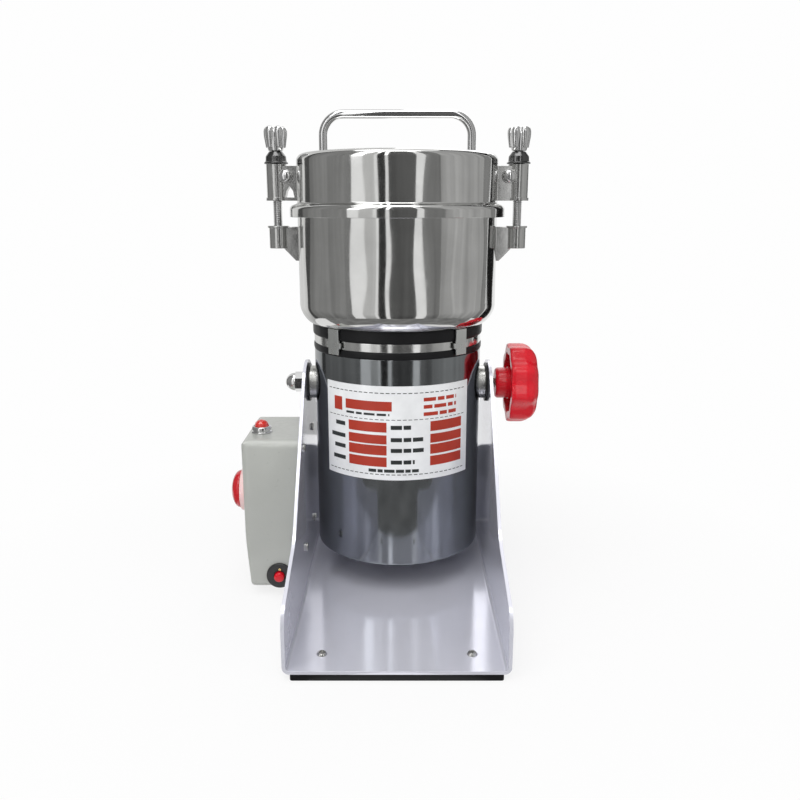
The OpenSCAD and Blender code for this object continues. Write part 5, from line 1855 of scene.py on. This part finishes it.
@dataclass(frozen=True)
class Studio:
    """Pale floor, plain light, cards and camera.

    Attributes:
        white: Level of the background.
        fill: Level of the light from all round.
        floor_r: Radius of the floor in metres.
        floor_grey: Grey of the floor under the mill.
        floor_white: Share of plain white near the mill and from some way off.
        floor_fade: Where the first share ends and the second starts, in metres from the frame's middle.
        card_r: Distance of the cards from the mill's axis in metres.
        card_top: Height of the cards in metres.
        low_share: Share of a card's brightness at its foot.
        full_z: Height in metres from which a card has its full brightness.
        streak: Width of the cards' upright streaks in millimetres.
        uneven: How far the streaks' brightness lies from the card's mean.
        sheet: Thickness of the cards in millimetres.
        facet: Width of a card's facets in degrees.
        floor_card: Inner radius in metres and brightness of the card that lies on the floor.
        floor_half: Angle from the floor card's middle to its ends.
        lamps: The lamps.
        lens: Focal length of the camera in millimetres.
        camera: The camera's place in metres, sideways from the mill's axis.
        pitch: Angle between the camera's view and straight down, in degrees.
    """

    white: float = 0.99
    fill: float = 0.42
    floor_r: float = 4.0
    floor_grey: float = 0.82
    floor_white: tuple[float, float] = (0.80, 1.0)
    floor_fade: tuple[float, float] = (0.10, 0.32)
    card_r: float = 0.33
    card_top: float = 0.95
    low_share: float = 0.65
    full_z: float = 0.14
    streak: float = 55.0
    uneven: float = 0.28
    sheet: float = 2.0
    facet: float = 4.0
    floor_card: tuple[float, float] = (0.152, 0.34)
    floor_half: float = 100.0
    lamps: tuple[Lamp, ...] = (
        Lamp("key_lamp", (-0.25, -0.45, 1.35), 1.1, 11.0), Lamp("front_lamp", (0.0, -1.1, 0.9), 0.8, 4.0),
        Lamp("left_lamp", (-1.1, -0.9, 0.75), 0.8, 3.2), Lamp("right_lamp", (1.0, -0.7, 0.8), 0.8, 2.0),
        Lamp("rear_lamp", (0.2, 1.0, 1.0), 0.9, 2.6))
    lens: float = 35.48
    camera: tuple[float, float, float] = (0.00165, -0.4844, 0.2483)
    pitch: float = 76.3

    def build(self) -> None:
        """Make the studio."""
        self._world()
        self._floor()
        self._cards()
        for lamp in self.lamps:
            lamp.build()
        self._camera()
        bpy.context.scene.view_settings.view_transform = "Standard"

    @staticmethod
    def _seen(graph: Graph) -> Socket:
        """Tell rays that show the background from rays that light the mill.

        Args:
            graph: The node tree that asks.

        Returns:
            A value socket, 1 for camera, glossy and transmission rays.
        """
        path = graph.node("ShaderNodeLightPath")
        total = path.outputs["Is Camera Ray"]
        for other in ("Is Glossy Ray", "Is Transmission Ray"):
            total = graph.reckon("MAXIMUM", total, path.outputs[other])
        return total

    @staticmethod
    def _stand(name: str, mesh: bpy.types.Mesh, material: bpy.types.Material) -> bpy.types.Object:
        """Put a part of the studio in the scene.

        Args:
            name: Its name.
            mesh: Its form.
            material: Its material.

        Returns:
            Its object.
        """
        mesh.materials.append(material)
        made = add_object(name, mesh)
        return made

    def _world(self) -> None:
        """Set a world that shows white and lights softly."""
        world = bpy.data.worlds.new("studio")
        bpy.context.scene.world = world
        world.use_nodes = True
        graph = Graph(world.node_tree, "ShaderNodeOutputWorld")
        soft = graph.node("ShaderNodeBackground", Color=(1, 1, 1, 1), Strength=self.fill)
        shown = graph.node("ShaderNodeBackground", Color=(1, 1, 1, 1), Strength=self.white)
        graph.show(graph.mixed(self._seen(graph), soft, shown))

    def _floor(self) -> None:
        """Lay a round floor that is white to the eye but for the mill's soft shadow."""
        disc = Shape()
        bmesh.ops.create_circle(disc.bm, cap_ends=True, segments=96, radius=self.floor_r)
        material = new_material("studio_floor")
        graph = Graph(material.node_tree)
        diffuse = graph.node("ShaderNodeBsdfDiffuse", Color=(*[self.floor_grey] * 3, 1))
        shown = graph.node("ShaderNodeEmission", Color=(1, 1, 1, 1), Strength=self.white)
        out = graph.length(graph.node("ShaderNodeTexCoord").outputs["Object"])
        share = graph.spread(out, *self.floor_white, *self.floor_fade)
        graph.show(graph.mixed(graph.reckon("MULTIPLY", share, self._seen(graph)), diffuse, shown))
        self._stand("floor", disc.mesh("floor"), material)

    def _cards(self) -> None:
        """Stand grey cards round the mill and lay one on the floor, seen only in its bright surfaces."""
        radius = self.card_r / MM
        for card in Surround:
            start, stop, level = card.value
            shape = Shape.arc_bar(radius, radius + self.sheet, 1.0, self.card_top / MM, start, stop,
                                  self.facet)
            self._card("card_" + card.name.lower(), shape, level)
        inner, level = self.floor_card
        lying = Shape.arc_bar(inner / MM, radius, 0.3, 0.8, -self.floor_half, self.floor_half, self.facet)
        self._card("card_floor", lying, level)

    def _card(self, name: str, shape: Shape, level: float) -> None:
        """Set up one card, a little uneven in upright streaks.

        Args:
            name: Its name.
            shape: Its form.
            level: Its mean brightness.
        """
        shape.outward().to_frame()
        material = new_material(name)
        graph = Graph(material.node_tree)
        glow = graph.node("ShaderNodeEmission", Color=(1, 1, 0.99, 1))
        noise = graph.noise(graph.place((1.0, 1.0, 0.08)), self.streak, 3.0)
        streaks = graph.spread(noise, level * (1 - self.uneven), level * (1 + self.uneven))
        height = graph.node("ShaderNodeSeparateXYZ")
        graph.link(graph.place(), height.inputs["Vector"])
        rise = graph.spread(height.outputs["Z"], self.low_share, 1.0, 0.0, self.full_z)
        graph.link(graph.reckon("MULTIPLY", streaks, rise), glow.inputs["Strength"])
        graph.show(glow.outputs[0])
        made = self._stand(name, shape.mesh(name), material)
        for ray in ("camera", "diffuse", "shadow", "transmission"):
            setattr(made, "visible_" + ray, False)

    def _camera(self) -> None:
        """Set the camera that sees the mill from the front and slightly above."""
        data = bpy.data.cameras.new("camera")
        data.lens = self.lens
        data.sensor_width = 36.0
        data.clip_start = 0.01
        data.dof.use_dof = False
        camera = add_object("camera", data)
        side, depth, height = self.camera
        camera.location = (AXIS.x + side, depth, height)
        camera.rotation_euler = (math.radians(self.pitch), 0.0, 0.0)
        bpy.context.scene.camera = camera


def main() -> None:
    """Build the mill and its studio."""
    logging.basicConfig(level=logging.INFO, format="%(message)s")
    for assembly in (TiltBracket(), ControlBox(), MotorCasing(), Neck(), Bowl(), Motor(), Lid(), Brackets(),
                     Clamp(Side.LEFT), Clamp(Side.RIGHT), LockKnob(), Studio()):
        LOG.info("building %s", type(assembly).__name__)
        assembly.build()


if __name__ == "__main__":
    main()
